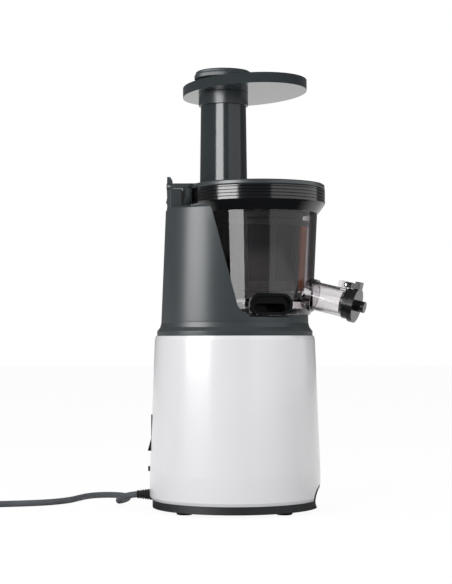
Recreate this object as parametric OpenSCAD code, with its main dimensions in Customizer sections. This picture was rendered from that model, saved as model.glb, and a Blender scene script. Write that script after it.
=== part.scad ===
// Cold press juicer, standing on its feet.
// Origin: on the table, under the axis of the bowl. +X is the front, +Z is up.

/* [Base] */
// Distance from the bowl's axis back to the axis of base and tower
axis_gap = 23.5; // [21:0.5:26]
// Height of the rubber feet below the bottom pan
foot_h = 3; // [2:0.5:5]
// Radius of a rubber foot
foot_r = 8; // [6:0.5:10]
// Height of the dark bottom pan
pan_h = 7.8; // [6:0.2:10]
// Height of the white shell
base_h = 161.8; // [155:0.2:175]
// Radius of the white shell just under its top edge
base_top_r = 79.9; // [79.5:0.1:82]
// Radius of the white shell near the table
base_low_r = 84.9; // [83:0.1:88]
// Wall of the white shell
base_wall = 3; // [2.5:0.1:3.5]
// Radius of the finger scoop across the front foot
scoop_r = 18.7; // [16:0.1:20]

/* [Tower] */
// Height of the tower's foot flange
flange_h = 4.4; // [3:0.2:6]
// Radius of the tower's foot flange
flange_r = 77.6; // [77:0.1:79]
// Radius of the tower at its foot
tower_foot_r = 74; // [73:0.1:75]
// Radius of the tower at its shoulder
tower_top_r = 68.9; // [68.5:0.1:70]
// Height of the deck under the bowl, above the seam
deck_h = 20.4; // [19:0.2:24]
// Height of the tower's shoulder above the deck
shoulder_h = 106; // [103:0.5:107]
// How far behind the bowl's axis the sloped cheeks start, at the deck
cheek_foot = 17.6; // [14:0.2:20]
// How far behind the bowl's axis the sloped cheeks end, at the shoulder
cheek_top = 45.4; // [44:0.2:48]
// Wall of the tower
tower_wall = 3.5; // [3:0.1:4]
// Height of the latch post above the shoulder
post_h = 18.5; // [18:0.1:19]
// Width of the latch post
post_w = 52; // [48:1:56]

/* [Bowl] */
// Outer radius of the clear bowl at its bottom
bowl_low_r = 54.5; // [54:0.1:55]
// Outer radius of the clear bowl under its rim
bowl_top_r = 59.4; // [59:0.1:60]
// How far the rim ring's underside stands above the tower's shoulder
ring_above = 4; // [3.6:0.1:5]
// Wall of the clear bowl
bowl_wall = 2.5; // [2.2:0.1:2.8]
// Height of the bowl's floor above its foot
floor_h = 14.7; // [14:0.1:16]
// How far the grooved rim ring stands out past the bowl
ring_out = 7.6; // [7:0.2:8.6]
// Height of the grooved rim ring
ring_h = 15.5; // [14:0.5:17]
// Outer radius of the juice spout
spout_r = 14; // [12.5:0.1:14.5]
// Distance from the bowl's axis to the end of the juice spout
spout_reach = 90.8; // [86:0.2:95]
// Slope of the juice spout below level
spout_tilt = 13.5; // [11:0.5:15]
// Angle of the juice spout about the bowl's axis
spout_turn = -20; // [-24:1:-16]
// Angle of the pulp spout about the bowl's axis
pulp_turn = -79; // [-82:1:-76]
// Width of the pulp spout's mouth
pulp_w = 42; // [38:0.5:44]
// Height of the pulp spout's mouth
pulp_h = 21; // [19:0.5:23]
// Distance from the bowl's axis to the pulp spout's mouth
pulp_reach = 66.5; // [65:0.5:70]

/* [Strainer and auger] */
// Gap between the strainer and the bowl's outside at the bottom
sieve_low_gap = 13.5; // [13:0.1:14]
// Gap between the strainer and the bowl's outside at the top
sieve_top_gap = 14.4; // [14:0.1:15]
// Wall of the strainer's frame
sieve_wall = 1.8; // [1.5:0.1:2]
// Number of ribs round the strainer
sieve_ribs = 10; // [6:1:12]
// Radius of the auger's core at its foot
core_low_r = 31; // [29:0.5:33]
// Radius of the auger's core at its top
core_top_r = 9; // [8:0.5:11]
// Turns that each flight makes round the auger
flight_turns = 1.3; // [1.1:0.05:1.5]
// Thickness of a flight
flight_t = 4; // [3:0.25:5]
// Number of silicone blades on the wiper
blade_n = 3; // [2:1:4]

/* [Lid] */
// Thickness of the lid's plate
lid_t = 4.9; // [4:0.1:6]
// Distance from the bowl's axis back to the feed chute's axis
chute_back = 34.5; // [33:0.5:35]
// Outer radius of the feed chute at the lid
chute_low_r = 23.7; // [23.4:0.1:24.2]
// Outer radius of the feed chute at the tray
chute_top_r = 22.5; // [22.2:0.1:22.8]
// Wall of the feed chute
chute_wall = 2.2; // [1.8:0.1:2.6]
// Height from the lid's plate to the underside of the tray
chute_h = 92.6; // [88:0.2:98]
// Width of the arm at the back of the lid
arm_w = 44; // [40:1:48]

/* [Tray and pusher] */
// Length of the oval tray
tray_long = 164.8; // [155:0.2:175]
// Width of the oval tray
tray_short = 112.6; // [105:0.2:120]
// Distance from the tray's centre to the chute's axis
tray_off = 23.1; // [18:0.1:26]
// Turn of the tray about the chute
tray_turn = 27.3; // [20:0.1:35]
// Height of the tray
tray_h = 10; // [8:0.5:12]
// Wall of the tray
tray_wall = 2.4; // [2:0.1:3]
// Height of the tray's hub below the tray
hub_h = 13; // [11:0.5:15]
// Wall of the tray's hub
hub_wall = 2; // [1.6:0.1:2.4]
// Radius of the pusher's cap
cap_r = 29; // [27:0.5:31]
// Height of the pusher's cap above the tray's rim
cap_h = 11.5; // [10:0.5:14]
// Length of the pusher below its cap
pusher_l = 92; // [80:1:94]

/* [Drive] */
// Module of every gear
gear_m = 1.2; // [1.1:0.05:1.2]
// Teeth of both small wheels in the gearbox
pinion_n = 12; // [11:1:13]
// Teeth of both large wheels in the gearbox
wheel_n = 48; // [45:1:49]
// Teeth of the gear under the auger
sun_n = 20; // [19:1:21]
// Teeth of the wiper's pinion
planet_n = 22; // [21:1:23]
// Width of the drive hexagon across its flats
hex_af = 12; // [11:0.5:12.5]
// Radius of the motor's stator
stator_r = 44; // [40:0.5:48]
// Height of the motor's stator
stator_h = 40; // [34:1:44]
// Radius of the motor's rotor
rotor_r = 22.5; // [20:0.5:24]
// Radius of the motor's shaft
motor_shaft_r = 4; // [3.5:0.25:4.5]

/* [Switches] */
// Width of the rocker switch
rocker_w = 20; // [16:1:24]
// Height of the rocker switch
rocker_h = 36; // [32:1:38]
// Height of the rocker switch's pivot above the table
rocker_z = 74.7; // [70:0.5:80]
// Height of the reset button above the table
reset_z = 40.3; // [36:0.5:44]
// Radius of the reset button
reset_r = 2.5; // [2:0.25:3]

/* [Cord] */
// Diameter of the mains cord
cord_d = 6.4; // [6:0.1:7]

/* [Hidden] */
$fn = 96;

// Clearances
seat = 0.3;      // between two pieces of different bodies that sit on each other
run = 0.05;      // radial, between a shaft and its bearing
slip = 0.6;      // radial, between pieces that lift past each other
fit = 0.1;       // between two pieces of one body

// Beyond every solid, for cutting forms
past = 200;

ring_r = bowl_top_r + ring_out;
sieve_low_r = bowl_low_r - sieve_low_gap;
sieve_top_r = bowl_top_r - sieve_top_gap;

// Levels above the table
z_pan = foot_h;
z_shell = z_pan + pan_h;
z_seam = z_shell + base_h;
z_deck = z_seam + deck_h;
z_shoulder = z_deck + shoulder_h;
z_post = z_shoulder + post_h;
z_bowl = z_deck + seat;
z_floor = z_bowl + floor_h;
z_ring = z_shoulder + ring_above;
z_neck = z_shoulder + 1;
z_lid = z_ring + ring_h;
z_lid_top = z_lid + lid_t;
z_tray = z_lid_top + chute_h;
z_tray_top = z_tray + tray_h;
z_cap = z_tray_top + cap_h;

// Gearbox and motor: everything hangs under the deck
gear_r1 = gear_m * pinion_n / 2;
gear_r2 = gear_m * wheel_n / 2;
gear_gap = gear_r1 + gear_r2;
deck_t = 4;
cover_t = 3;
box_wall = 2.2;
wheel_t = 12;
wheel1_t = 8;
z_cover = z_deck - deck_t - 2 - cover_t;
z_wheel2 = z_cover - 3 - wheel_t;
z_wheel1 = z_wheel2 - 4 - wheel1_t;
z_box = z_wheel1 - 4 - box_wall;
chassis_t = 4;
z_chassis = z_box - chassis_t;
motor_x = -axis_gap;
idler_x = -axis_gap / 2;
idler_y = sqrt(gear_gap * gear_gap - idler_x * idler_x);
box_r = gear_gap + gear_r2 + gear_m * 0.8 + 0.4;
bracket_h = 12;
z_mount = z_chassis - 6;
z_bracket_top = z_mount;
z_stator_top = z_bracket_top - bracket_h;
z_stator = z_stator_top - stator_h;
z_bracket_low = z_stator - bracket_h;
fan_h = 9;
shaft_low = z_bracket_low - fan_h - 6;

// Bowl's works
hub_r = 11;
neck_r = 7;
gear_h = 6;
z_gear = z_floor + 1;
z_sieve = z_gear + gear_h + 2;
sieve_floor = 2.5;
sieve_rim = 5;
z_sieve_top = z_ring - 9;
z_auger = z_sieve + sieve_floor + 1;
auger_h = 74;
planet_gap = gear_m * (sun_n + planet_n) / 2;
ring_n = sun_n + 2 * planet_n;
planet_a = pulp_turn + 180;
pin_r = 3;
socket_h = 22;
hex_top = z_auger + socket_h - 2;
blade_turn = -31;
wiper_t = 3;

// Spout frame: start of the tube inside the wall, and its slanted length
spout_r0 = 50;
spout_wall = 2.4;
spout_l = (spout_reach - spout_r0) / cos(spout_tilt);
spout_z0 = z_bowl + 11 + (spout_reach - spout_r0) * tan(spout_tilt);
hinge_x = -(spout_r + 4);
hinge_z = spout_l - 1.5;
plug_deep = 3;
cap_plate = 5;

// Latch
latch_x = -axis_gap - tower_top_r + 3.8;
latch_z = z_lid + 2.5;
latch_w = 20;
ear_t = 3;
latch_pin_r = 1.5;

// Cord: points along the table, in millimetres
relief_z = 14.8;
relief_l = 22;
relief_out = 13;
cord_r = cord_d / 2;
cord_low = cord_r + 0.1;
cord_x0 = -axis_gap - base_low_r - relief_out;
cord_route = [[cord_x0 + 0.2, 0, relief_z], [-127, 1, 14], [-134, 6, 12], [-139, 14, 9], [-142, 26, 6],
    [-142, 42, 4], [-139, 60, cord_low], [-137, 76, cord_low], [-140, 92, cord_low], [-149, 103, cord_low],
    [-161, 107, cord_low], [-173, 103, cord_low], [-182, 92, cord_low], [-188, 76, cord_low],
    [-194, 58, cord_low], [-204, 42, cord_low], [-218, 30, cord_low], [-236, 22, cord_low],
    [-256, 16, cord_low], [-276, 11, cord_low], [-296, 7, cord_low], [-310, 6, cord_low]];
coil_mid_r = 35;
coil_c = [-318, 44];
plug_at = [-352, -36];
lead_route = [[-331, 9.5, 8.6], [-342, 2.5, 5.4], [-349.5, -8, 3.6], [-352, -18, 3.6], [-352, -26.4, 8]];

// ---- helpers ----
function arc(c, r, a0, a1, n = 6) =
    [for (i = [0:n]) c + r * [cos(a0 + (a1 - a0) * i / n), sin(a0 + (a1 - a0) * i / n)]];
function mix(a, b, t) = a + (b - a) * t;
function bowl_r(z) = mix(bowl_low_r, bowl_top_r, (z - z_bowl) / (z_neck - z_bowl));
function sieve_r(z) = mix(sieve_low_r, sieve_top_r, (z - z_sieve) / (z_sieve_top - z_sieve));
function chute_r(z) = mix(chute_low_r, chute_top_r, (z - z_lid_top) / chute_h);

module ring(r_out, r_in, z0, z1) {
    translate([0, 0, z0]) difference() {
        cylinder(r = r_out, h = z1 - z0);
        translate([0, 0, -1]) cylinder(r = r_in, h = z1 - z0 + 2);
    }
}
module disc(r, z0, z1) { translate([0, 0, z0]) cylinder(r = r, h = z1 - z0); }
module turned(profile) { rotate_extrude() polygon(profile); }
module side_cut(profile, width) { rotate([90, 0, 0]) linear_extrude(width, center = true) polygon(profile); }
module at_tower() { translate([-axis_gap, 0, 0]) children(); }
module at_chute() { translate([-chute_back, 0, 0]) children(); }
module round_copies(n, r, a0 = 0) {
    for (i = [0:n - 1]) rotate([0, 0, a0 + 360 * i / n]) translate([r, 0, 0]) children();
}

// Involute gear outline
pressure = 20;
add_f = 0.8;
ded_f = 1.15;
play = 0.12;
function inv(a) = tan(a) - a * PI / 180;
function half_tooth(r, n, grow) =
    let (rp = gear_m * n / 2, rb = rp * cos(pressure), a = r <= rb ? 0 : acos(rb / r))
    90 / n + (grow / rp + inv(pressure) - inv(a)) * 180 / PI;
function polar(r, a) = r * [cos(a), sin(a)];
function tooth(n, a, grow, add, ded) =
    let (rp = gear_m * n / 2, rb = rp * cos(pressure), r0 = rp - ded * gear_m, r3 = rp + add * gear_m,
        r1 = max(r0 + 0.1, rb), r2 = (r1 + r3) / 2,
        h0 = half_tooth(r1, n, grow), h2 = half_tooth(r2, n, grow), h3 = half_tooth(r3, n, grow))
    [polar(r0, a - h0), polar(r1, a - h0), polar(r2, a - h2), polar(r3, a - h3),
        polar(r3, a + h3), polar(r2, a + h2), polar(r1, a + h0), polar(r0, a + h0)];
module gear_2d(n, phase = 0, grow = -play, add = add_f, ded = ded_f) {
    polygon([for (i = [0:n - 1]) each tooth(n, phase + 360 * i / n, grow, add, ded)]);
}
// Angle of a tooth on the driven gear, from that of the driver; a is the direction between their centres
function mesh(a, phase, n1, n2) = a + 180 - (phase - a) * n1 / n2 + 180 / n2;

// Tube of eight sides swept along a route of points
function unit(v) = v / norm(v);
function heading(p, i) = unit(p[min(i + 1, len(p) - 1)] - p[max(i - 1, 0)]);
function tube_ring(p, i, r, n) =
    let (t = heading(p, i), s = unit(cross(t, [0, 0, 1])), u = cross(s, t))
    [for (k = [0:n - 1]) p[i] + r * (cos(360 * k / n + 180 / n) * s + sin(360 * k / n + 180 / n) * u)];
module loft(rings) {
    n = len(rings[0]);
    m = len(rings);
    polyhedron([for (q = rings) each q],
        concat([[for (k = [0:n - 1]) n - 1 - k]],
            [for (i = [0:m - 2]) for (k = [0:n - 1])
                let (a = i * n + k, b = i * n + (k + 1) % n) each [[a, b + n, a + n], [a, b, b + n]]],
            [[for (k = [0:n - 1]) (m - 1) * n + k]]));
}
module tube(points, r, n = 8) { loft([for (i = [0:len(points) - 1]) tube_ring(points, i, r, n)]); }

// ---- base ----
base_round = 4;
z_base_wide = 38;
module base_form(inset) {
    turned(concat([[0, z_shell - 1], [base_low_r - 2.4 - inset, z_shell - 1],
        [base_low_r - 2.4 - inset, z_shell], [base_low_r - inset, z_shell + 3],
        [base_low_r - inset, z_base_wide], [base_top_r - inset, z_seam - base_round]],
        [[base_top_r - inset - 1, z_seam], [0, z_seam]]));
}
scoop_x = -axis_gap + base_low_r + scoop_r - 5.8;
scoop_z = 11;
module scoop(r) { translate([scoop_x, 0, scoop_z]) rotate([90, 0, 0]) cylinder(r = r, h = 200, center = true); }
scoop_lining = 2;
ledge_t = 5;
ledge_w = 9;
function base_r(z) = mix(base_low_r, base_top_r, (z - z_base_wide) / (z_seam - base_round - z_base_wide));
module base_shell() {
    color([0.93, 0.93, 0.94]) difference() {
        union() {
            difference() {
                at_tower() base_form(0);
                at_tower() translate([0, 0, -2]) base_form(base_wall);
                at_tower() disc(base_top_r - base_wall - 1, z_seam - 10, z_seam + 1);
            }
            at_tower() let (r = base_r(z_chassis) - base_wall) ring(r + 1.2, r + 1.2 - ledge_w, z_chassis - ledge_t, z_chassis);
        }
        disc(200, 0, z_shell);
        scoop(scoop_r + scoop_lining + fit);
        translate([-axis_gap - base_low_r, 0, relief_z]) rotate([0, 90, 0])
            cylinder(r = relief_bore, h = 20, center = true);
        translate([-axis_gap - base_low_r, 0, rocker_z]) cube([30, frame_w, frame_h], center = true);
        translate([-axis_gap - base_low_r, 0, reset_z]) rotate([0, 90, 0])
            cylinder(r = reset_r + 0.5, h = 30, center = true);
    }
}
pan_r = base_low_r - 2.6;
pan_wall = 3;
module base_pan() {
    color([0.16, 0.17, 0.18]) difference() {
        union() {
            at_tower() difference() {
                disc(pan_r, z_pan, z_shell);
                disc(pan_r - pan_wall, z_pan + pan_wall, z_shell + 1);
            }
            intersection() {
                difference() { scoop(scoop_r + scoop_lining); scoop(scoop_r); }
                at_tower() base_form(0.6);
                translate([0, -100, z_pan + 1]) cube([200, 200, 60]);
            }
            at_tower() round_copies(4, post_ring_r, 45) disc(4, z_pan + 1, z_shell + 3);
            at_tower() for (x = [-1, 1], y = [-1, 1])
                translate([x * (board_l / 2 - 4), y * (board_w / 2 - 4), 0]) disc(3, z_pan + 1, z_board);
        }
        scoop(scoop_r);
        at_tower() round_copies(4, post_ring_r, 45) disc(screw_r, z_pan - 1, z_shell + 4);
        translate([-axis_gap - pan_r, 0, relief_z]) rotate([0, 90, 0])
            cylinder(r = relief_flange_r + fit, h = 20, center = true);
    }
}
post_ring_r = 56;
foot_ring_r = 68;
board_l = 80;
board_w = 60;
board_t = 1.6;
z_board = z_shell + 3;
screw_r = 1.6;
module feet() {
    color([0.10, 0.10, 0.11]) at_tower() round_copies(4, foot_ring_r, 45)
        turned([[0, 0], [foot_r - 1, 0], [foot_r, 1], [foot_r - 0.5, foot_h], [0, foot_h]]);
}
module pan_screws() {
    color([0.7, 0.7, 0.72]) at_tower() round_copies(4, post_ring_r, 45) union() {
        disc(3, z_pan - 1.6, z_pan);
        disc(screw_r - fit, z_pan - 1, z_shell + 3);
    }
}

// ---- tower ----
deck_round = 3;
cheek_fillet = 14;
function tower_r(z) = mix(tower_foot_r, tower_top_r, (z - z_seam) / (z_shoulder - z_seam));
module tower_foot(inset) {
    cove = 4;
    turned(concat([[0, z_seam - inset], [flange_r - inset, z_seam - inset], [flange_r - inset, z_seam + flange_h]],
        [[tower_r(z_seam) + 0.6 - inset, z_seam + flange_h + cove],
            [tower_r(z_deck) - 1 - inset, z_deck - deck_round],
            [tower_r(z_deck) - 1.9 - inset, z_deck - 0.9 - inset],
            [tower_r(z_deck) - 1 - deck_round - inset, z_deck - inset], [0, z_deck - inset]]));
}
// Side view of the room in front of the sloped cheeks
function cheek_cut(inset) =
    let (slope = atan2(cheek_top - cheek_foot, shoulder_h), back = inset / cos(slope),
        foot = [-cheek_foot - back, z_deck], top = [-cheek_top - back, z_shoulder],
        turn = 90 + slope, reach = cheek_fillet / tan(turn / 2),
        a = foot + reach * [1, 0], up = unit(top - foot), c = a + [0, cheek_fillet])
    concat([[past, z_deck - inset], [a[0], z_deck - inset]], arc(c, cheek_fillet, -90, -180 + slope, 6),
        [top - 5 * up, top + [-1.5, 1.5]], [[top[0] - 1.5, z_shoulder + past], [past, z_shoulder + past]]);
module tower_column(inset) {
    difference() {
        turned([[0, z_seam], [tower_r(z_deck - 6) - inset, z_seam], [tower_r(z_deck - 6) - inset, z_deck - 6],
            [tower_top_r - inset, z_shoulder - 2 - inset], [tower_top_r - 2 - inset, z_shoulder - inset],
            [0, z_shoulder - inset]]);
        translate([axis_gap, 0, 0]) side_cut(cheek_cut(inset), past);
        translate([axis_gap, 0, 0]) turned([[0, z_deck - inset], [bowl_r(z_deck) + slip + inset, z_deck - inset],
            [bowl_r(z_skirt - 1) + slip + inset, z_skirt - 1 - inset], [skirt_low_r + slip + inset, z_skirt - 1 - inset],
            [skirt_r(z_neck) + slip + inset, z_neck], [0, z_neck]]);
    }
}
post_front = -axis_gap - tower_top_r + 17;
notch_z = z_shoulder + 1;
module upper_housing() {
    color([0.23, 0.26, 0.27]) difference() {
        union() {
            at_tower() difference() {
                union() { tower_foot(0); tower_column(0); }
                union() { tower_foot(tower_wall); tower_column(tower_wall); }
                disc(flange_r - tower_wall, z_seam - 1, z_seam + 1);
            }
            intersection() {
                at_tower() disc(tower_top_r - 1, z_shoulder - 2, z_post);
                translate([post_front - 40, -post_w / 2, z_shoulder - 2.2]) cube([40, post_w, 60]);
            }
        }
        disc(bearing_r + fit, z_cover, z_deck + 1);
        translate([latch_x - 20, -latch_w / 2 - 0.6, notch_z]) cube([20 + 2.9, latch_w + 1.2, 60]);
        rotate([0, 0, pulp_turn]) translate([pulp_reach - 12, -pulp_w / 2 - 1, z_deck - 2.5])
            cube([40, pulp_w + 2, 20]);
    }
}

// ---- chassis and motor ----
module chassis_plate() {
    color([0.6, 0.6, 0.62]) difference() {
        at_tower() disc(base_top_r - base_wall - 0.8, z_chassis, z_chassis + chassis_t);
        at_tower() disc(motor_shaft_r + 8, z_chassis - 1, z_chassis + chassis_t + 1);
        at_tower() round_copies(4, mount_ring_r, 0) disc(screw_r, z_chassis - 1, z_chassis + chassis_t + 1);
    }
}
mount_ring_r = stator_r - 5;
module motor_mounts() {
    color([0.1, 0.1, 0.1]) at_tower() round_copies(4, mount_ring_r, 0) ring(5, screw_r, z_mount, z_chassis);
}
tooth_n = 12;
module motor_stator() {
    color([0.45, 0.46, 0.48]) at_tower() difference() {
        disc(stator_r, z_stator, z_stator_top);
        disc(rotor_r + 0.7, z_stator - 1, z_stator_top + 1);
        for (i = [0:tooth_n - 1]) rotate([0, 0, 360 * i / tooth_n])
            translate([rotor_r + 3, -slot_w / 2, z_stator - 1]) cube([slot_l, slot_w, stator_h + 2]);
    }
}
slot_w = 5;
slot_l = 12;
coil_proud = 8;
module motor_windings() {
    color([0.72, 0.38, 0.16]) at_tower() {
        for (i = [0:tooth_n - 1]) rotate([0, 0, 360 * i / tooth_n])
            translate([rotor_r + 3 + fit, -slot_w / 2 + fit, z_stator - 1])
                cube([slot_l - 2 * fit, slot_w - 2 * fit, stator_h + 2]);
        ring(rotor_r + 3 + slot_l, rotor_r + 3, z_stator_top + 0.5, z_stator_top + coil_proud);
        ring(rotor_r + 3 + slot_l, rotor_r + 3, z_stator - coil_proud, z_stator - 0.5);
    }
}
bracket_rim = 4;
ball_r = 11;
ball_w = 7;
module motor_bracket(z0, z1, plate0, plate1) {
    at_tower() difference() {
        union() {
            ring(stator_r, stator_r - bracket_rim, z0, z1);
            disc(stator_r, plate0, plate1);
            ring(ball_r + 2, ball_r + fit, z0 + 2, z1);
        }
        disc(ball_r + fit, z0 - 1, z1 + 1);
        round_copies(4, (stator_r + ball_r + 2) / 2, 45) disc(6, z0 - 1, z1 + 1);
    }
}
module motor_upper_bracket() {
    color([0.6, 0.62, 0.64]) motor_bracket(z_stator_top, z_bracket_top, z_bracket_top - 3, z_bracket_top);
}
module motor_lower_bracket() {
    color([0.6, 0.62, 0.64]) motor_bracket(z_bracket_low, z_stator, z_bracket_low, z_bracket_low + 3);
}
module motor_bearings() {
    color([0.75, 0.76, 0.78]) at_tower() {
        ring(ball_r, motor_shaft_r + run, z_bracket_top - ball_w, z_bracket_top);
        ring(ball_r, motor_shaft_r + run, z_bracket_low, z_bracket_low + ball_w);
    }
}
module motor_rotor() {
    color([0.5, 0.5, 0.52]) at_tower() ring(rotor_r, motor_shaft_r, z_stator, z_stator_top);
}
module motor_shaft() {
    color([0.8, 0.8, 0.82]) at_tower() disc(motor_shaft_r, shaft_low, z_wheel1 + wheel1_t + 0.5);
}
pinion_a = atan2(idler_y, idler_x - motor_x);
pinion_phase = 0;
wheel1_phase = mesh(pinion_a, pinion_phase, pinion_n, wheel_n);
output_a = atan2(-idler_y, -idler_x);
wheel2_phase = mesh(output_a, wheel1_phase, pinion_n, wheel_n);
module motor_pinion() {
    color([0.8, 0.75, 0.5]) at_tower() translate([0, 0, z_wheel1]) difference() {
        linear_extrude(wheel1_t) gear_2d(pinion_n, pinion_phase);
        translate([0, 0, -1]) cylinder(r = motor_shaft_r, h = wheel1_t + 2);
    }
}
blade_count = 9;
module cooling_fan() {
    color([0.2, 0.2, 0.22]) at_tower() difference() {
        union() {
            disc(stator_r - 8, z_bracket_low - fan_h, z_bracket_low - fan_h + 2);
            disc(9, z_bracket_low - fan_h, z_bracket_low - 1);
            for (i = [0:blade_count - 1]) rotate([0, 0, 360 * i / blade_count])
                translate([8, -0.8, z_bracket_low - fan_h]) cube([stator_r - 17, 1.6, fan_h - 1.5]);
        }
        disc(motor_shaft_r, z_bracket_low - fan_h - 1, z_bracket_low);
    }
}

// ---- gearbox ----
journal_r = 4;
module gearbox_housing() {
    color([0.3, 0.31, 0.33]) difference() {
        at_tower() disc(box_r + box_wall, z_box, z_cover);
        at_tower() disc(box_r, z_box + box_wall, z_cover + 1);
        at_tower() disc(motor_shaft_r + 1, z_box - 1, z_box + 10);
        translate([idler_x, idler_y, 0]) disc(pin_r + 0.02, z_box - 1, z_box + 10);
        disc(journal_r + run, z_box - 1, z_box + 10);
    }
}
module gearbox_cover() {
    color([0.3, 0.31, 0.33]) difference() {
        at_tower() disc(box_r + box_wall, z_cover, z_cover + cover_t);
        translate([idler_x, idler_y, 0]) disc(pin_r + 0.02, z_cover - 1, z_cover + cover_t + 1);
        disc(bearing_r + fit, z_cover - 1, z_cover + cover_t + 1);
    }
}
module idler_pin() {
    color([0.8, 0.8, 0.82]) translate([idler_x, idler_y, 0]) disc(pin_r, z_box, z_cover + cover_t);
}
module idler_gear() {
    color([0.9, 0.88, 0.8]) translate([idler_x, idler_y, 0]) difference() {
        union() {
            translate([0, 0, z_wheel1]) linear_extrude(wheel1_t) gear_2d(wheel_n, wheel1_phase);
            disc(gear_r1 - 2, z_wheel1, z_wheel2 + 1);
            translate([0, 0, z_wheel2]) linear_extrude(wheel_t) gear_2d(pinion_n, wheel1_phase);
        }
        disc(pin_r + run, z_wheel1 - 1, z_wheel2 + wheel_t + 1);
    }
}
web_holes = 6;
module output_gear() {
    color([0.9, 0.88, 0.8]) difference() {
        translate([0, 0, z_wheel2]) linear_extrude(wheel_t) gear_2d(wheel_n, wheel2_phase);
        disc(neck_r, z_wheel2 - 1, z_cover);
        round_copies(web_holes, (gear_r2 + neck_r) / 2) disc(4, z_wheel2 - 1, z_cover);
    }
}
module drive_shaft() {
    color([0.8, 0.8, 0.82]) union() {
        disc(journal_r, z_box, z_wheel2);
        disc(neck_r, z_wheel2, z_floor + 1);
        translate([0, 0, z_floor + 1]) cylinder(r = hex_af / 2 / cos(30), h = hex_top - z_floor - 1, $fn = 6);
    }
}
bearing_r = 11;
seal_h = 3;
module output_bearing() {
    color([0.75, 0.76, 0.78]) ring(bearing_r, neck_r + run, z_cover + fit, z_deck - seal_h);
}
module shaft_seal() {
    color([0.1, 0.1, 0.1]) ring(bearing_r, neck_r + run, z_deck - seal_h, z_deck);
}

// ---- electrics ----
capacitor_r = 8;
relay = [16, 20, 10];
module circuit_board() {
    color([0.1, 0.35, 0.2]) translate([-axis_gap - board_l / 2, -board_w / 2, z_board]) cube([board_l, board_w, board_t]);
    color([0.15, 0.15, 0.3]) translate([-axis_gap - 20, -10, z_board + board_t - 0.2]) {
        cylinder(r = capacitor_r, h = 1.75 * capacitor_r);
        translate([relay[0] + 6, 0, 0]) cube(relay);
        translate([0, relay[1], 0]) cylinder(r = capacitor_r / 2, h = relay[2] - 1);
    }
}
frame_w = rocker_w + 5;
frame_h = rocker_h + 4;
shell_rear = -axis_gap - mix(base_low_r, base_top_r, (rocker_z - z_base_wide) / (z_seam - z_base_wide));
module switch_body() {
    color([0.1, 0.1, 0.11]) translate([shell_rear, 0, rocker_z]) difference() {
        translate([0.6, -frame_w / 2 + fit, -frame_h / 2 + fit]) cube([21, frame_w - 2 * fit, frame_h - 2 * fit]);
        translate([-1, -rocker_w / 2 - 0.5, -rocker_h / 2 - 0.5]) cube([14, rocker_w + 1, rocker_h + 1]);
    }
}
rocker_x = shell_rear + 6;
rocker_lean = 9;
module switch_rocker() {
    color([0.12, 0.12, 0.13]) translate([rocker_x, 0, rocker_z]) rotate([0, rocker_lean, 0])
        side_cut([[4, -6], [3, -rocker_h / 2 + 2], [-6.5, -rocker_h / 2 + 0.8], [-4.5, 0],
            [-6.5, rocker_h / 2 - 0.8], [3, rocker_h / 2 - 2], [4, 6]], rocker_w);
}
shell_reset = -axis_gap - base_low_r;
module breaker_body() {
    color([0.12, 0.12, 0.13]) translate([shell_reset + base_wall + 0.8, 0, reset_z]) rotate([0, 90, 0])
        difference() {
            cylinder(r = 7, h = 24);
            translate([0, 0, -1]) cylinder(r = reset_r + 0.15, h = 12);
        }
}
module reset_button() {
    color([0.15, 0.15, 0.16]) translate([shell_reset - reset_out, 0, reset_z]) rotate([0, 90, 0])
        cylinder(r = reset_r, h = base_wall + 9);
}
reset_out = 1.8;
relief_bore = cord_r + 2.4 + fit;
relief_flange_r = cord_r + 4;
module strain_relief() {
    color([0.12, 0.12, 0.13]) translate([-axis_gap - base_low_r - relief_out, 0, relief_z]) rotate([0, 90, 0])
        turned([[0, 0], [cord_r + 0.7, 0], [cord_r + 2.4, relief_out], [cord_r + 2.4, relief_out + base_wall + 1],
            [relief_flange_r, relief_out + base_wall + 1], [relief_flange_r, relief_l], [0, relief_l]]);
}
module power_cord() {
    color([0.2, 0.2, 0.21]) {
        tube(cord_route, cord_r);
        tube(lead_route, cord_r);
    }
}
module cord_coil() {
    color([0.2, 0.2, 0.21]) translate([coil_c[0], coil_c[1], 0]) rotate_extrude()
        translate([coil_mid_r - cord_d, 0.1]) square([2 * cord_d, 2 * cord_d]);
}
module plug() {
    color([0.15, 0.15, 0.16]) translate([plug_at[0], plug_at[1] + 9.8, 12]) rotate([90, 0, 0]) {
        cylinder(r1 = 5, r2 = 11, h = 14);
        translate([0, 0, 14]) cylinder(r = 12, h = 22);
        for (s = [-1, 1]) translate([s * 9.5, 0, 36]) cylinder(r = 2.2, h = 18);
    }
}

// ---- bowl ----
module on_spout() {
    rotate([0, 0, spout_turn]) translate([spout_r0, 0, spout_z0]) rotate([0, 90 + spout_tilt, 0]) children();
}
module stadium(w, h) {
    square([w - h, h], center = true);
    for (s = [-1, 1]) translate([s * (w - h) / 2, 0]) circle(r = h / 2);
}
module on_pulp(reach) {
    rotate([0, 0, pulp_turn]) translate([reach, 0, pulp_z]) rotate([90, 0, 90]) children();
}
duct_h = floor_h - bowl_wall - 0.6;
duct_w = 34;
pulp_z = z_bowl + 0.3 + duct_h / 2;
mouth_z = pulp_h / 2 - duct_h / 2 - 1.5;
port_r0 = 16;
port_r1 = 33;
port_a = 50;
bore_back = 20;
duct_in = 12;
module port_arc(r0, r1, half, z0, z1) {
    translate([0, 0, z0]) rotate([0, 0, pulp_turn - half]) rotate_extrude(angle = 2 * half)
        translate([r0, 0]) square([r1 - r0, z1 - z0]);
}
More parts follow.
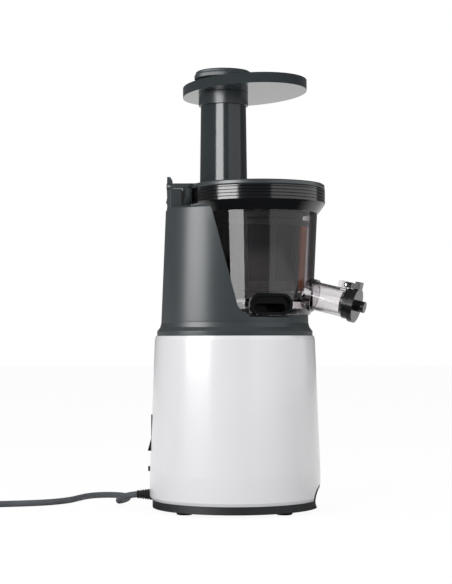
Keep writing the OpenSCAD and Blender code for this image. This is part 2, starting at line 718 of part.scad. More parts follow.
module bowl() {
    color([0.75, 0.72, 0.72, 0.4]) difference() {
        union() {
            difference() {
                turned([[0, z_bowl], [bowl_low_r - 3, z_bowl], [bowl_low_r, z_bowl + 5],
                    [bowl_top_r, z_neck], [ring_r - 2, z_ring], [0, z_ring]]);
                turned([[0, z_floor], [bowl_r(z_floor) - bowl_wall, z_floor],
                    [bowl_top_r - bowl_wall, z_neck], [bowl_top_r - bowl_wall, z_ring + 1], [0, z_ring + 1]]);
                turned([[0, z_bowl - 1], [bowl_low_r - 3 - bowl_wall, z_bowl - 1],
                    [bowl_low_r - bowl_wall - 0.5, z_floor - bowl_wall], [0, z_floor - bowl_wall]]);
            }
            ring(hub_r, neck_r + 1, z_bowl, z_floor);
            rotate([0, 0, planet_a]) translate([planet_gap, 0, 0]) disc(pin_r, z_floor - bowl_wall, z_gear + gear_h + 1);
            on_spout() cylinder(r = spout_r + 2, h = 10);
        }
        disc(neck_r + 1, z_bowl - 1, z_floor + 1);
        on_spout() translate([0, 0, -bore_back]) cylinder(r = spout_r + fit, h = 3 * bore_back);
        port_arc(port_r0, port_r1, port_a / 2, z_floor - bowl_wall - 1, z_floor + 1);
        on_pulp(bowl_low_r - duct_in) linear_extrude(2.5 * duct_in) stadium(duct_w + 0.4, duct_h + 0.4);
    }
}
groove_n = 4;
skirt_h = 8.5;
z_skirt = z_ring - skirt_h;
skirt_low_r = bowl_r(z_skirt) + 1.3;
skirt_top_r = ring_r - 0.6;
function skirt_r(z) = mix(skirt_low_r, skirt_top_r, (z - z_skirt) / skirt_h);
module bowl_ring() {
    pitch = (ring_h - 3) / groove_n;
    color([0.08, 0.08, 0.09]) turned(concat(
        [[bowl_top_r + 0.5, z_ring + fit], [ring_r - 1.8, z_ring + fit], [bowl_top_r + 0.2, z_neck],
            [bowl_r(z_skirt) + 0.2, z_skirt], [skirt_low_r, z_skirt], [skirt_top_r, z_ring]],
        [for (i = [0:groove_n - 1]) each [[ring_r, z_ring + 1.5 + i * pitch],
            [ring_r, z_ring + 1.5 + (i + 0.8) * pitch], [ring_r - 0.6, z_ring + 1.5 + (i + 0.9) * pitch]]],
        [[ring_r, z_lid - 1.5], [ring_r, z_lid - seat], [bowl_top_r + 0.5, z_lid - seat]]));
}
module juice_spout() {
    color([0.8, 0.76, 0.74, 0.4]) difference() {
        union() {
            on_spout() cylinder(r = spout_r, h = spout_l);
            on_spout() for (s = [-1, 1]) translate([0, s * 6, 0]) side_cut([[hinge_x - 3, spout_l - 9],
                [2 - spout_r, spout_l - 9], [2 - spout_r, spout_l - 0.5], [-spout_r - 1.6, spout_l - 0.5],
                [-spout_r - 1.6, spout_l + 1.3], [hinge_x - 3, spout_l + 1.3]], 3);
        }
        on_spout() translate([0, 0, -10]) cylinder(r = spout_r - spout_wall, h = spout_l + 20);
        on_spout() translate([hinge_x, 0, hinge_z]) rotate([90, 0, 0]) cylinder(r = 1.2, h = 40, center = true);
        disc(bowl_r(z_floor) - bowl_wall + 0.2, z_bowl, z_bowl + 60);
    }
}
knuckle_w = 15;
module stopper_pin() {
    color([0.7, 0.7, 0.72]) on_spout() translate([hinge_x, 0, hinge_z]) rotate([90, 0, 0])
        cylinder(r = 1.15, h = knuckle_w, center = true);
}
knob_r = 5.5;
cap_skirt = 7;
module juice_stopper() {
    color([0.2, 0.21, 0.22]) on_spout() difference() {
        union() {
            translate([0, 0, spout_l + seat]) cylinder(r = spout_r + 1, h = cap_skirt);
            translate([0, 0, spout_l + cap_skirt]) cylinder(r = spout_r + 3, h = cap_plate);
            translate([-spout_r - 9, -6, spout_l + cap_skirt]) cube([12, 12, cap_plate]);
            translate([0, 0, spout_l + cap_skirt + cap_plate - 1]) cylinder(r = knob_r, h = 9);
            translate([0, 0, spout_l - plug_deep]) cylinder(r = spout_r - spout_wall - 0.7, h = plug_deep + 1);
            translate([hinge_x, 0, hinge_z]) rotate([90, 0, 0]) cylinder(r = 2.8, h = 8, center = true);
            translate([hinge_x - 2.8, -4, hinge_z]) cube([5.4, 8, 10]);
        }
        translate([hinge_x, 0, hinge_z]) rotate([90, 0, 0]) cylinder(r = 1.2, h = 40, center = true);
        translate([0, 0, spout_l - plug_deep - 1]) cylinder(r = spout_r - spout_wall - 2.7, h = plug_deep + 4);
    }
}
module pulp_spout() {
    color([0.07, 0.07, 0.08]) difference() {
        union() {
            on_pulp(14) linear_extrude(pulp_reach - 14) stadium(duct_w, duct_h);
            on_pulp(bowl_low_r + 3.5) translate([0, mouth_z, 0])
                linear_extrude(pulp_reach - bowl_low_r - 3.5) stadium(pulp_w, pulp_h);
        }
        on_pulp(16) linear_extrude(80) stadium(duct_w - 4, duct_h - 3.6);
        on_pulp(bowl_low_r + 5.5) translate([0, mouth_z, 0]) linear_extrude(30) stadium(pulp_w - 5, pulp_h - 5);
        port_arc(port_r0 + 1, port_r1, port_a / 2 - 2, pulp_z, z_floor);
    }
}
module bowl_seal() {
    color([0.15, 0.15, 0.16]) ring(neck_r + 0.9, neck_r + 0.35, z_bowl + 1, z_floor - 1);
}

// ---- strainer, wiper, auger ----
function wall_ring(r0, r1, z0, z1, t) = [[r0 - t, z0], [r0, z0], [r1, z1], [r1 - t, z1]];
module strainer_frame() {
    color([0.1, 0.1, 0.11, 0.9]) union() {
        difference() {
            disc(sieve_low_r, z_sieve, z_sieve + sieve_floor);
            disc(sun_clear, z_sieve - 1, z_sieve + sieve_floor + 1);
            port_arc(port_r0 + 1, port_r1, port_a / 2 - 2, z_sieve - 1, z_sieve + sieve_floor + 1);
        }
        turned(wall_ring(sieve_r(z_sieve), sieve_r(z_sieve + 9), z_sieve, z_sieve + 9, sieve_wall));
        turned(wall_ring(sieve_r(z_sieve_top - sieve_rim), sieve_r(z_sieve_top), z_sieve_top - sieve_rim,
            z_sieve_top, sieve_wall));
        for (i = [0:sieve_ribs - 1]) rotate([0, 0, 360 * i / sieve_ribs]) rotate_extrude(angle = 5)
            polygon(wall_ring(sieve_r(z_sieve + 4) - 0.2, sieve_r(z_sieve_top - 2) - 0.2, z_sieve + 4,
                z_sieve_top - 2, sieve_wall - 0.4));
        difference() {
            port_arc(port_r0 - 0.5, port_r1 + 1.5, port_a / 2, z_floor + 0.1, z_sieve + 1);
            port_arc(port_r0 + 1, port_r1, port_a / 2 - 2, z_floor - 1, z_sieve + 4);
        }
    }
}
sun_clear = gear_m * sun_n / 2 + 2;
module strainer_mesh() {
    color([0.62, 0.6, 0.58]) turned(wall_ring(sieve_r(z_sieve + 6) - sieve_wall - fit,
        sieve_r(z_sieve_top - 2) - sieve_wall - fit, z_sieve + 6, z_sieve_top - 2, 0.5));
}
sun_phase = planet_a;
planet_phase = mesh(planet_a, sun_phase, sun_n, planet_n);
ring_phase = planet_a + (planet_phase - planet_a) * planet_n / ring_n;
module wiper_pinion() {
    color([0.85, 0.85, 0.82]) rotate([0, 0, planet_a]) translate([planet_gap, 0, z_gear]) rotate([0, 0, -planet_a])
        difference() {
            linear_extrude(gear_h) gear_2d(planet_n, planet_phase);
            translate([0, 0, -1]) cylinder(r = pin_r + run, h = gear_h + 2);
        }
}
ring_gear_r = gear_m * ring_n / 2;
wiper_in = sieve_low_r + 3.6;
module wiper_frame() {
    z_top = z_sieve_top - 8;
    color([0.12, 0.12, 0.13]) union() {
        difference() {
            disc(sieve_low_r + 6.6, z_gear, z_gear + gear_h);
            translate([0, 0, z_gear - 1]) linear_extrude(gear_h + 2) gear_2d(ring_n, ring_phase, play, 1.05, 0.8);
        }
        for (i = [0:blade_n - 1]) rotate([0, 0, blade_turn + 360 * i / blade_n]) for (s = [-9, 6])
            rotate([0, 0, s]) rotate_extrude(angle = 3) polygon(wall_ring(sieve_low_r + 6.4, sieve_top_r + 6,
                z_gear + 1, z_top - 1, wiper_t - 0.4));
        turned(wall_ring(sieve_top_r + 6, sieve_top_r + 6.2, z_top - 5, z_top, wiper_t));
    }
}
module wiper_blades() {
    color([0.66, 0.35, 0.2]) for (i = [0:blade_n - 1]) rotate([0, 0, blade_turn + 360 * i / blade_n])
        difference() {
            rotate([0, 0, -5.8]) rotate_extrude(angle = 11.6)
                polygon(wall_ring(sieve_low_r + 8.2, sieve_top_r + 7.6, z_gear + gear_h + 1, z_top_blade, 6.2));
        }
}
z_top_blade = z_sieve_top - 14;
// One flight of the auger: a ring of four corners carried up and round the core
flight_n = 40;
flight_out = sieve_low_r - sieve_wall - 1.4;
function core_r(t) = mix(core_low_r, core_top_r, pow(t, 0.8));
function flight_ring(t, a0) =
    let (a = a0 + 360 * flight_turns * t, z = z_auger + 1.5 + t * (auger_h - flight_t - 3),
        ro = mix(flight_out, flight_out - 3, t), ri = core_r(t) - 2, lean = 2)
    [[ri * cos(a), ri * sin(a), z], [ro * cos(a), ro * sin(a), z + lean],
        [ro * cos(a), ro * sin(a), z + lean + flight_t * 0.6], [ri * cos(a), ri * sin(a), z + flight_t]];
module auger_core() {
    turned(concat([[0, z_auger], [core_low_r + 4, z_auger], [core_low_r + 4, z_auger + 2]],
        [for (i = [0:8]) [core_r(i / 8), z_auger + 3 + (auger_h - 3) * i / 8]],
        [[core_top_r, z_auger + auger_h + 3], [0, z_auger + auger_h + 3]]));
}
module auger() {
    color([0.14, 0.14, 0.15]) difference() {
        union() {
            auger_core();
            disc(sun_n * gear_m / 2 - 2, z_gear, z_auger + 1);
            translate([0, 0, z_gear]) linear_extrude(gear_h) gear_2d(sun_n, sun_phase);
        }
        translate([0, 0, z_gear - 1]) cylinder(r = (hex_af / 2 + 0.25) / cos(30), h = socket_h + z_auger - z_gear,
            $fn = 6);
        disc((neck_r + 0.6), z_gear - 1, z_gear + 1);
        disc(auger_pin_r, z_auger + auger_h - 12, z_auger + auger_h + 4);
    }
}
module auger_flights() {
    color([0.14, 0.14, 0.15]) for (a0 = [0, 180]) loft([for (i = [0:flight_n]) flight_ring(i / flight_n, a0)]);
}
auger_pin_r = 4.5;
z_pin_top = z_lid - 3;
module auger_pin() {
    color([0.8, 0.8, 0.82]) disc(auger_pin_r, z_auger + auger_h - 12, z_pin_top);
}

// ---- lid ----
arm_end = latch_x + 4.2;
module lid() {
    color([0.21, 0.23, 0.25]) difference() {
        union() {
            turned([[0, z_lid], [ring_r - 0.8, z_lid], [ring_r - 0.2, z_lid + 1], [ring_r - 0.6, z_lid_top - 1],
                [ring_r - 2, z_lid_top], [0, z_lid_top]]);
            intersection() {
                translate([arm_end, -arm_w / 2, z_lid]) cube([60, arm_w, lid_t]);
                at_tower() disc(tower_top_r - 1.5, z_lid, z_lid_top);
            }
            translate([post_front + 1, -arm_w / 2 + 2, z_shoulder + 2]) cube([5, arm_w - 4, z_lid + 1 - z_shoulder - 2]);
            for (s = [-1, 1]) translate([latch_x - 2.4, s * (latch_w / 2 + 0.3 + ear_t / 2) - ear_t / 2, z_lid])
                cube([10, ear_t, lid_t]);
            ring(bush_r + 2.5, bush_r + fit, z_lid - 14, z_lid + 1);
            ring(bowl_top_r - bowl_wall - 1, bowl_top_r - bowl_wall - 3.5, z_ring - 3, z_lid + 1);
        }
        at_chute() disc(chute_r(z_lid) - chute_wall, z_lid - 20, z_lid_top + 1);
        at_chute() disc(chute_low_r + fit, z_lid + 2, z_lid_top + 1);
        translate([latch_x, 0, latch_z]) rotate([90, 0, 0]) cylinder(r = latch_pin_r + 0.02, h = 40, center = true);
    }
}
bush_r = 8;
module auger_bush() {
    color([0.85, 0.84, 0.8]) ring(bush_r, auger_pin_r + run, z_lid - 14, z_lid - 1);
}
module lid_gasket() {
    color([0.75, 0.75, 0.76]) ring(bowl_top_r - bowl_wall - 0.5, bowl_top_r - bowl_wall - 1 + 0.02, z_ring + 3, z_ring + 6);
}
module feed_chute() {
    color([0.21, 0.23, 0.25]) at_chute() difference() {
        turned([[0, z_lid + 2 + fit], [chute_low_r, z_lid + 2 + fit], [chute_low_r, z_lid_top], [chute_top_r, z_tray],
            [chute_top_r, z_tray + 4], [0, z_tray + 4]]);
        turned([[0, z_lid], [chute_low_r - chute_wall, z_lid], [chute_top_r - chute_wall, z_tray + 5], [0, z_tray + 5]]);
    }
}
latch_tab_h = 10;
module latch_lever() {
    color([0.19, 0.21, 0.23]) difference() {
        translate([latch_x, 0, latch_z]) side_cut([[-2, latch_tab_h], [1.2, latch_tab_h], [2.4, latch_tab_h - 2],
            [2.4, -3], [1.4, -8], [1.4, -16], [-1, -17.5], [-3.2, -16], [-2, -11], [-2.4, -3]], latch_w);
        translate([latch_x, 0, latch_z]) rotate([90, 0, 0]) cylinder(r = latch_pin_r + run, h = 40, center = true);
    }
}
module latch_pin() {
    color([0.8, 0.8, 0.82]) translate([latch_x, 0, latch_z]) rotate([90, 0, 0])
        cylinder(r = latch_pin_r, h = latch_w + 2 * ear_t + 0.4, center = true);
}

// ---- tray and pusher ----
module tray_outline(inset) {
    scale([1, (tray_long / 2 - inset) / (tray_short / 2 - inset)]) circle(r = tray_short / 2 - inset);
}
module on_tray() {
    at_chute() rotate([0, 0, tray_turn]) translate([tray_off, 0, z_tray]) children();
}
hub_in = chute_top_r + seat;
module tray() {
    color([0.24, 0.26, 0.27]) difference() {
        on_tray() union() {
            difference() {
                linear_extrude(tray_h) tray_outline(0);
                translate([0, 0, tray_wall]) linear_extrude(tray_h) tray_outline(tray_wall);
            }
        }
        at_chute() disc(hub_in, z_tray - 1, z_tray_top + 1);
    }
}
module tray_hub() {
    color([0.24, 0.26, 0.27]) at_chute() ring(hub_in + hub_wall, hub_in, z_tray - hub_h, z_tray - fit);
}
pusher_r = chute_top_r - chute_wall - 0.7;
module pusher() {
    color([0.21, 0.23, 0.25]) at_chute() difference() {
        turned([[0, z_cap - 6 - pusher_l], [pusher_r - 2, z_cap - 6 - pusher_l], [pusher_r, z_cap - 4 - pusher_l],
            [pusher_r, z_tray_top + 2], [0, z_tray_top + 2]]);
        disc(pusher_r - 2.5, z_cap - 3 - pusher_l, z_tray_top + 3);
    }
}
module pusher_cap() {
    color([0.24, 0.26, 0.27]) at_chute() turned([[0, z_tray_top + 2 + fit], [cap_r - 3, z_tray_top + 2 + fit],
        [cap_r, z_tray_top + 4], [cap_r, z_cap - 4], [cap_r - 1, z_cap - 3], [cap_r - 1.4, z_cap - 1],
        [cap_r - 3, z_cap], [0, z_cap]]);
}

base_shell();
base_pan();
feet();
pan_screws();
upper_housing();
chassis_plate();
motor_mounts();
motor_stator();
motor_windings();
motor_upper_bracket();
motor_lower_bracket();
motor_bearings();
motor_rotor();
motor_shaft();
motor_pinion();
cooling_fan();
gearbox_housing();
gearbox_cover();
idler_pin();
idler_gear();
output_gear();
drive_shaft();
output_bearing();
shaft_seal();
circuit_board();
switch_body();
switch_rocker();
breaker_body();
reset_button();
strain_relief();
power_cord();
cord_coil();
plug();
bowl();
bowl_ring();
juice_spout();
juice_stopper();
stopper_pin();
pulp_spout();
bowl_seal();
strainer_frame();
strainer_mesh();
wiper_pinion();
wiper_frame();
wiper_blades();
auger();
auger_flights();
auger_pin();
lid();
feed_chute();
lid_gasket();
auger_bush();
latch_lever();
latch_pin();
tray();
tray_hub();
pusher();
pusher_cap();
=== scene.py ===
"""Looks of an upright cold press juicer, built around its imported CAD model.

Every length is in metres, in the frame of the model: +Z up, +X to the front where the juice
spout is, and the origin on the table under the axis of the bowl. Profiles and routes are in
millimetres, and say so.
"""
import math

import bmesh
import bpy
from bpy.props import FloatProperty, FloatVectorProperty, IntProperty, PointerProperty
from mathutils import Matrix, Vector


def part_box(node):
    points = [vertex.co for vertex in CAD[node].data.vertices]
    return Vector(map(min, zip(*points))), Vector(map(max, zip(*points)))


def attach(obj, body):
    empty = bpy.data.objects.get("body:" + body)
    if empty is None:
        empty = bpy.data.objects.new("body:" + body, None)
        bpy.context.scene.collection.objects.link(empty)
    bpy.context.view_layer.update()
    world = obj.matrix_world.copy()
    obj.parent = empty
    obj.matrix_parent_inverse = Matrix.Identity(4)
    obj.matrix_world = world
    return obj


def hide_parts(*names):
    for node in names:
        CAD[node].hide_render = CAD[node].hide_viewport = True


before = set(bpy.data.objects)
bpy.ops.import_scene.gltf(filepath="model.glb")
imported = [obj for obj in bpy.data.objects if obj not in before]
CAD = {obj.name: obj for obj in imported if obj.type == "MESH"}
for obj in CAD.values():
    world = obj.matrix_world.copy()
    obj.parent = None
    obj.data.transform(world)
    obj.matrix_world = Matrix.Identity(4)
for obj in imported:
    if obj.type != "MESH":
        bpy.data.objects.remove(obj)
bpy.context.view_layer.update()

bl_info = {
    "name": "Cold press juicer dressing",
    "version": (1, 0, 0),
    "blender": (4, 5, 0),
    "location": "3D View > Sidebar > Juicer",
    "description": "Finishes, small parts, mains lead and studio of an upright slow juicer",
    "category": "Object",
}

MM = 0.001
# one band of the wave pattern at scale 1, in metres
WAVE_LENGTH = 6.28
# rays that round an edge
EDGE_SAMPLES = 4
# the colour sockets of a mix node, and its colour output
COLOUR_A, COLOUR_B, COLOUR_OUT = 6, 7, 2


# ---------------------------------------------------------------- colours and nodes

def srgb(text):
    """An sRGB hex value such as #3C4245 as linear red, green and blue."""
    parts = [int(text[i:i + 2], 16) / 255 for i in (1, 3, 5)]
    return tuple(c / 12.92 if c <= 0.04045 else ((c + 0.055) / 1.055) ** 2.4 for c in parts)


def shade(colour, share):
    return tuple(c * share for c in colour)


def add_node(tree, kind, inputs=None, **settings):
    """Adds one shader node. inputs gives its sockets a value, or a link where the value is a
    socket."""
    made = tree.nodes.new(kind)
    for name, value in settings.items():
        setattr(made, name, value)
    for name, value in (inputs or {}).items():
        if isinstance(value, bpy.types.NodeSocket):
            tree.links.new(value, made.inputs[name])
        elif hasattr(value, "__len__") and len(value) == 3 and made.inputs[name].type == "RGBA":
            made.inputs[name].default_value = (*value, 1.0)
        else:
            made.inputs[name].default_value = value
    return made


def new_finish(name, **sockets):
    """A new material with a Principled shader whose named sockets are set, and its node tree."""
    found = bpy.data.materials.new(name)
    found.use_nodes = True
    tree = found.node_tree
    tree.nodes.clear()
    shader = add_node(tree, "ShaderNodeBsdfPrincipled",
                      {k.replace("_", " "): v for k, v in sockets.items()})
    out = add_node(tree, "ShaderNodeOutputMaterial")
    tree.links.new(shader.outputs[0], out.inputs["Surface"])
    return found, tree, shader


def per_metre(size_mm):
    """The scale of a noise or cell pattern whose grains are size_mm apart."""
    return 1000.0 / size_mm


def bands_at(size_mm):
    """The scale of a wave pattern whose bands are size_mm apart."""
    return per_metre(size_mm) / WAVE_LENGTH


def grain(tree, shader, size_mm, depth_mm, edge_mm=0.5, strength=1.0):
    """A noise relief of grains size_mm apart and depth_mm high, over edges that the mould rounds
    to edge_mm. Gives the place on the piece, for more patterns."""
    place = add_node(tree, "ShaderNodeTexCoord").outputs["Object"]
    noise = add_node(tree, "ShaderNodeTexNoise",
                     {"Vector": place, "Scale": per_metre(size_mm), "Detail": 3.0,
                      "Roughness": 0.6})
    bump = add_node(tree, "ShaderNodeBump",
                    {"Strength": strength, "Distance": depth_mm * MM,
                     "Height": noise.outputs["Fac"]})
    if edge_mm:
        edges = add_node(tree, "ShaderNodeBevel", {"Radius": edge_mm * MM}, samples=EDGE_SAMPLES)
        tree.links.new(edges.outputs[0], bump.inputs["Normal"])
    tree.links.new(bump.outputs[0], shader.inputs["Normal"])
    return place


def tone(tree, shader, place, low, high, size_mm):
    """A slow drift of the base colour between two near tones, over patches of size_mm."""
    slow = add_node(tree, "ShaderNodeTexNoise",
                    {"Vector": place, "Scale": per_metre(size_mm), "Detail": 2.0})
    ramp = add_node(tree, "ShaderNodeValToRGB", {"Fac": slow.outputs["Fac"]})
    for stop, at, colour in zip(ramp.color_ramp.elements, (0.35, 0.65), (low, high)):
        stop.position, stop.color = at, (*colour, 1.0)
    tree.links.new(ramp.outputs["Color"], shader.inputs["Base Color"])


def moulded(name, colour, grains, drift, **sockets):
    """The finish of a moulding. grains is what grain() takes, from size_mm on; drift is the
    darkest and the lightest share of the colour, and the size in mm of its patches."""
    made, tree, shader = new_finish(name, **sockets)
    place = grain(tree, shader, *grains)
    darkest, lightest, size_mm = drift
    tone(tree, shader, place, shade(colour, darkest), shade(colour, lightest), size_mm)
    return made


# ---------------------------------------------------------------- materials

def abs_moulded_gloss_white(colour):
    """Gloss ABS from a polished mould: milky white, with the faint long waves of orange peel."""
    return moulded("abs_moulded_gloss_white", colour, (9.0, 0.004, 0.9), (0.985, 1.0, 60),
                   Roughness=0.28, IOR=1.54, Coat_Weight=0.35, Coat_Roughness=0.12)


def abs_moulded_satin_slate(colour):
    """ABS from a spark-eroded mould: slate grey, its fine grain spreads each highlight softly."""
    return moulded("abs_moulded_satin_slate", colour, (0.7, 0.006, 0.7, 0.6), (0.94, 1.04, 35),
                   Roughness=0.34, IOR=1.52)


def abs_moulded_fine_slate(colour):
    """Slate ABS with a very fine grain: half matt from above, and pale where the eye grazes it."""
    return moulded("abs_moulded_fine_slate", colour, (0.6, 0.002, 0.6, 0.4), (0.95, 1.04, 30),
                   Roughness=0.3, IOR=1.54)


def abs_moulded_gloss_slate(colour):
    """The same slate ABS from a polished mould: narrow, sharp-edged highlights along the chute."""
    return moulded("abs_moulded_gloss_slate", colour, (12.0, 0.003, 0.5), (0.96, 1.03, 40),
                   Roughness=0.14, IOR=1.54)


def polypropylene_moulded_black(colour):
    """Polypropylene with a coarse leather-like texture, as on the underside of appliances."""
    return moulded("polypropylene_moulded_black", colour, (1.1, 0.02, 0.5, 0.7), (0.9, 1.05, 25),
                   Roughness=0.5, IOR=1.49)


def rubber_moulded_black():
    """Moulded rubber: a dull, slightly dusty black."""
    made, tree, shader = new_finish("rubber_moulded_black", Roughness=0.82, IOR=1.52,
                                    Sheen_Weight=0.15, Sheen_Roughness=0.5)
    place = grain(tree, shader, 0.9, 0.02, 0.4, 0.8)
    tone(tree, shader, place, srgb("#18191A"), srgb("#232425"), 8)
    return made


def silicone_moulded(name, colour):
    """Moulded silicone: soft and matt, with light seeping a little way in."""
    return moulded(name, colour, (1.4, 0.01, 0.5, 0.6), (0.9, 1.06, 14), Roughness=0.52, IOR=1.41,
                   Subsurface_Weight=0.12, Subsurface_Scale=0.002, Sheen_Weight=0.1,
                   Sheen_Roughness=0.5)


def copolyester_moulded_clear(name, tint, edge):
    """Clear copolyester: a glassy wall with long moulding waves. Near its outline the eye looks
    along the wall, so that its tint grows into a dark edge. That dark edge is partly painted
    shade, for the dark room that the wall refracts near its outline."""
    made, tree, shader = new_finish(name, Roughness=0.035, IOR=1.57, Transmission_Weight=1.0)
    grain(tree, shader, 14.0, 0.004, 0.0)
    # the outline is painted darker: partly the longer path through the tint, partly painted shade
    slant = add_node(tree, "ShaderNodeLayerWeight", {"Blend": 0.5}).outputs["Facing"]
    ramp = add_node(tree, "ShaderNodeValToRGB", {"Fac": slant})
    for stop, at, colour in zip(ramp.color_ramp.elements, (0.36, 0.6), (tint, edge)):
        stop.position, stop.color = at, (*colour, 1.0)
    tree.links.new(ramp.outputs["Color"], shader.inputs["Base Color"])
    return made


def abs_moulded_gloss_black(name, colour, roughness=0.14):
    """A gloss black moulding: it mirrors the lamps with crisp edges."""
    return moulded(name, colour, (10.0, 0.003, 0.4), (0.9, 1.05, 30), Roughness=roughness,
                   IOR=1.54)


def polyetherimide_moulded_black(colour):
    """Glass-filled engineering plastic of the strainer's and the wiper's frames: near black,
    with pale flow streaks."""
    return moulded("polyetherimide_moulded_black", colour, (0.8, 0.008, 0.5, 0.5),
                   (0.85, 1.25, 18), Roughness=0.36, IOR=1.6)


def stainless_turned():
    """Stainless steel turned on a lathe: fine rings round the axis break up each highlight."""
    made, tree, shader = new_finish("stainless_turned", Base_Color=srgb("#C4C4C2"), Metallic=1.0)
    place = add_node(tree, "ShaderNodeTexCoord").outputs["Object"]
    # tool marks 0.4 mm apart, drawn five times as coarse so that they show
    rings = add_node(tree, "ShaderNodeTexWave",
                     {"Vector": place, "Scale": bands_at(2.0), "Distortion": 0.6, "Detail": 2.0},
                     bands_direction="Z")
    rough = add_node(tree, "ShaderNodeMapRange",
                     {"Value": rings.outputs["Fac"], "To Min": 0.22, "To Max": 0.38})
    tree.links.new(rough.outputs[0], shader.inputs["Roughness"])
    edges = add_node(tree, "ShaderNodeBevel", {"Radius": 0.3 * MM}, samples=EDGE_SAMPLES)
    bump = add_node(tree, "ShaderNodeBump",
                    {"Strength": 0.25, "Distance": 0.01 * MM, "Height": rings.outputs["Fac"],
                     "Normal": edges.outputs[0]})
    tree.links.new(bump.outputs[0], shader.inputs["Normal"])
    return made


def stainless_perforated(tint):
    """Stainless sheet with etched holes in rows: reads as a grey veil with fine dots. Its dark
    tint is painted shade of the inside of the bowl.
    """
    made, tree, shader = new_finish("stainless_perforated", Metallic=0.85, Roughness=0.34)
    place = add_node(tree, "ShaderNodeTexCoord").outputs["Object"]
    split = add_node(tree, "ShaderNodeSeparateXYZ", {"Vector": place})
    turn = add_node(tree, "ShaderNodeMath", {0: split.outputs["Y"], 1: split.outputs["X"]},
                    operation="ARCTAN2")
    # holes 0.5 mm apart on the real sheet; drawn 1.8 mm apart so that they show
    pitch_mm, mean_radius_mm = 1.8, 42.0
    # the sheet is unrolled at twice its size, and the cells are laid at half of theirs
    around = add_node(tree, "ShaderNodeMath",
                      {0: turn.outputs[0], 1: mean_radius_mm / pitch_mm * 2},
                      operation="MULTIPLY")
    up = add_node(tree, "ShaderNodeMath", {0: split.outputs["Z"], 1: per_metre(pitch_mm) * 2},
                  operation="MULTIPLY")
    unrolled = add_node(tree, "ShaderNodeCombineXYZ",
                        {"X": around.outputs[0], "Y": up.outputs[0]})
    cells = add_node(tree, "ShaderNodeTexVoronoi",
                     {"Vector": unrolled.outputs[0], "Scale": 1 / 2, "Randomness": 0.0},
                     voronoi_dimensions="2D")
    # 0 in a hole, 1 on the sheet
    sheet = add_node(tree, "ShaderNodeMapRange",
                     {"Value": cells.outputs["Distance"], "From Min": 0.2, "From Max": 0.4})
    # the holes are painted near black: painted shade of the inside seen through them
    colour = add_node(tree, "ShaderNodeMix",
                      {"Factor": sheet.outputs[0], COLOUR_A: (*srgb("#1A1A1B"), 1.0),
                       COLOUR_B: (*tint, 1.0)}, data_type="RGBA")
    tree.links.new(colour.outputs[COLOUR_OUT], shader.inputs["Base Color"])
    bump = add_node(tree, "ShaderNodeBump",
                    {"Strength": 0.12, "Distance": 0.05 * MM, "Height": sheet.outputs[0]})
    tree.links.new(bump.outputs[0], shader.inputs["Normal"])
    return made


def banded(name, bands, depth_mm, strength, low, high, high_at=1.0, direction="Z", **sockets):
    """The finish of a stack or a winding. bands is what the wave pattern takes; low is the
    colour of its furrows and high that of its ridges, which are depth_mm higher."""
    made, tree, shader = new_finish(name, **sockets)
    place = add_node(tree, "ShaderNodeTexCoord").outputs["Object"]
    rows = add_node(tree, "ShaderNodeTexWave", {"Vector": place, **bands},
                    bands_direction=direction)
    ramp = add_node(tree, "ShaderNodeValToRGB", {"Fac": rows.outputs["Fac"]})
    for stop, at, colour in zip(ramp.color_ramp.elements, (0.0, high_at), (low, high)):
        stop.position, stop.color = at, (*srgb(colour), 1.0)
    tree.links.new(ramp.outputs["Color"], shader.inputs["Base Color"])
    bump = add_node(tree, "ShaderNodeBump", {"Strength": strength, "Distance": depth_mm * MM,
                                             "Height": rows.outputs["Fac"]})
    tree.links.new(bump.outputs[0], shader.inputs["Normal"])
    return made


def steel_laminated():
    """A stack of stamped electrical steel: blue-grey, with a dark line between sheets."""
    # sheets 0.5 mm thick, drawn 1 mm apart
    return banded("steel_laminated", {"Scale": bands_at(1.0)}, 0.05, 0.4, "#2C3034", "#858B90",
                  0.3, Metallic=1.0, Roughness=0.42)


def copper_enamelled():
    """Enamelled winding wire: warm, lacquered copper in fine rows, with painted shade in the
    furrows.
    """
    # wire 0.6 mm thick, drawn 1.2 mm apart
    # the dark brown of the furrows is painted shade between the wires
    return banded("copper_enamelled", {"Scale": bands_at(1.2), "Distortion": 1.5, "Detail": 1.0},
                  0.2, 0.7, "#5A2A12", "#C8743A", direction="DIAGONAL", Metallic=0.9,
                  Roughness=0.3, Coat_Weight=0.6, Coat_Roughness=0.15)


def zinc_die_cast():
    """Die-cast zinc: a dull grey skin with the mottle of the cooled metal."""
    made, tree, shader = new_finish("zinc_die_cast", Metallic=1.0, Roughness=0.48)
    place = grain(tree, shader, 1.6, 0.03, 0.6, 0.7)
    tone(tree, shader, place, srgb("#7C7F82"), srgb("#A3A6A8"), 7)
    return made


def nylon_moulded(name, colour):
    """Nylon: waxy, and slightly see-through at the edges of the teeth."""
    return moulded(name, colour, (2.0, 0.01, 0.3, 0.5), (0.93, 1.0, 12), Roughness=0.4, IOR=1.53,
                   Subsurface_Weight=0.15, Subsurface_Scale=0.001)


def epoxy_glass_board():
    """Circuit board: green solder mask over the weave of the glass cloth."""
    made, tree, shader = new_finish("epoxy_glass_board", Roughness=0.35, IOR=1.55,
                                    Coat_Weight=0.5, Coat_Roughness=0.2)
    place = add_node(tree, "ShaderNodeTexCoord").outputs["Object"]
    # glass cloth 0.5 mm apart, drawn 1.5 mm apart
    weave = add_node(tree, "ShaderNodeTexChecker",
                     {"Vector": place, "Scale": per_metre(1.5), "Color1": srgb("#14512E"),
                      "Color2": srgb("#0F4426")})
    tree.links.new(weave.outputs["Color"], shader.inputs["Base Color"])
    edges = add_node(tree, "ShaderNodeBevel", {"Radius": 0.3 * MM}, samples=EDGE_SAMPLES)
    tree.links.new(edges.outputs[0], shader.inputs["Normal"])
    return made


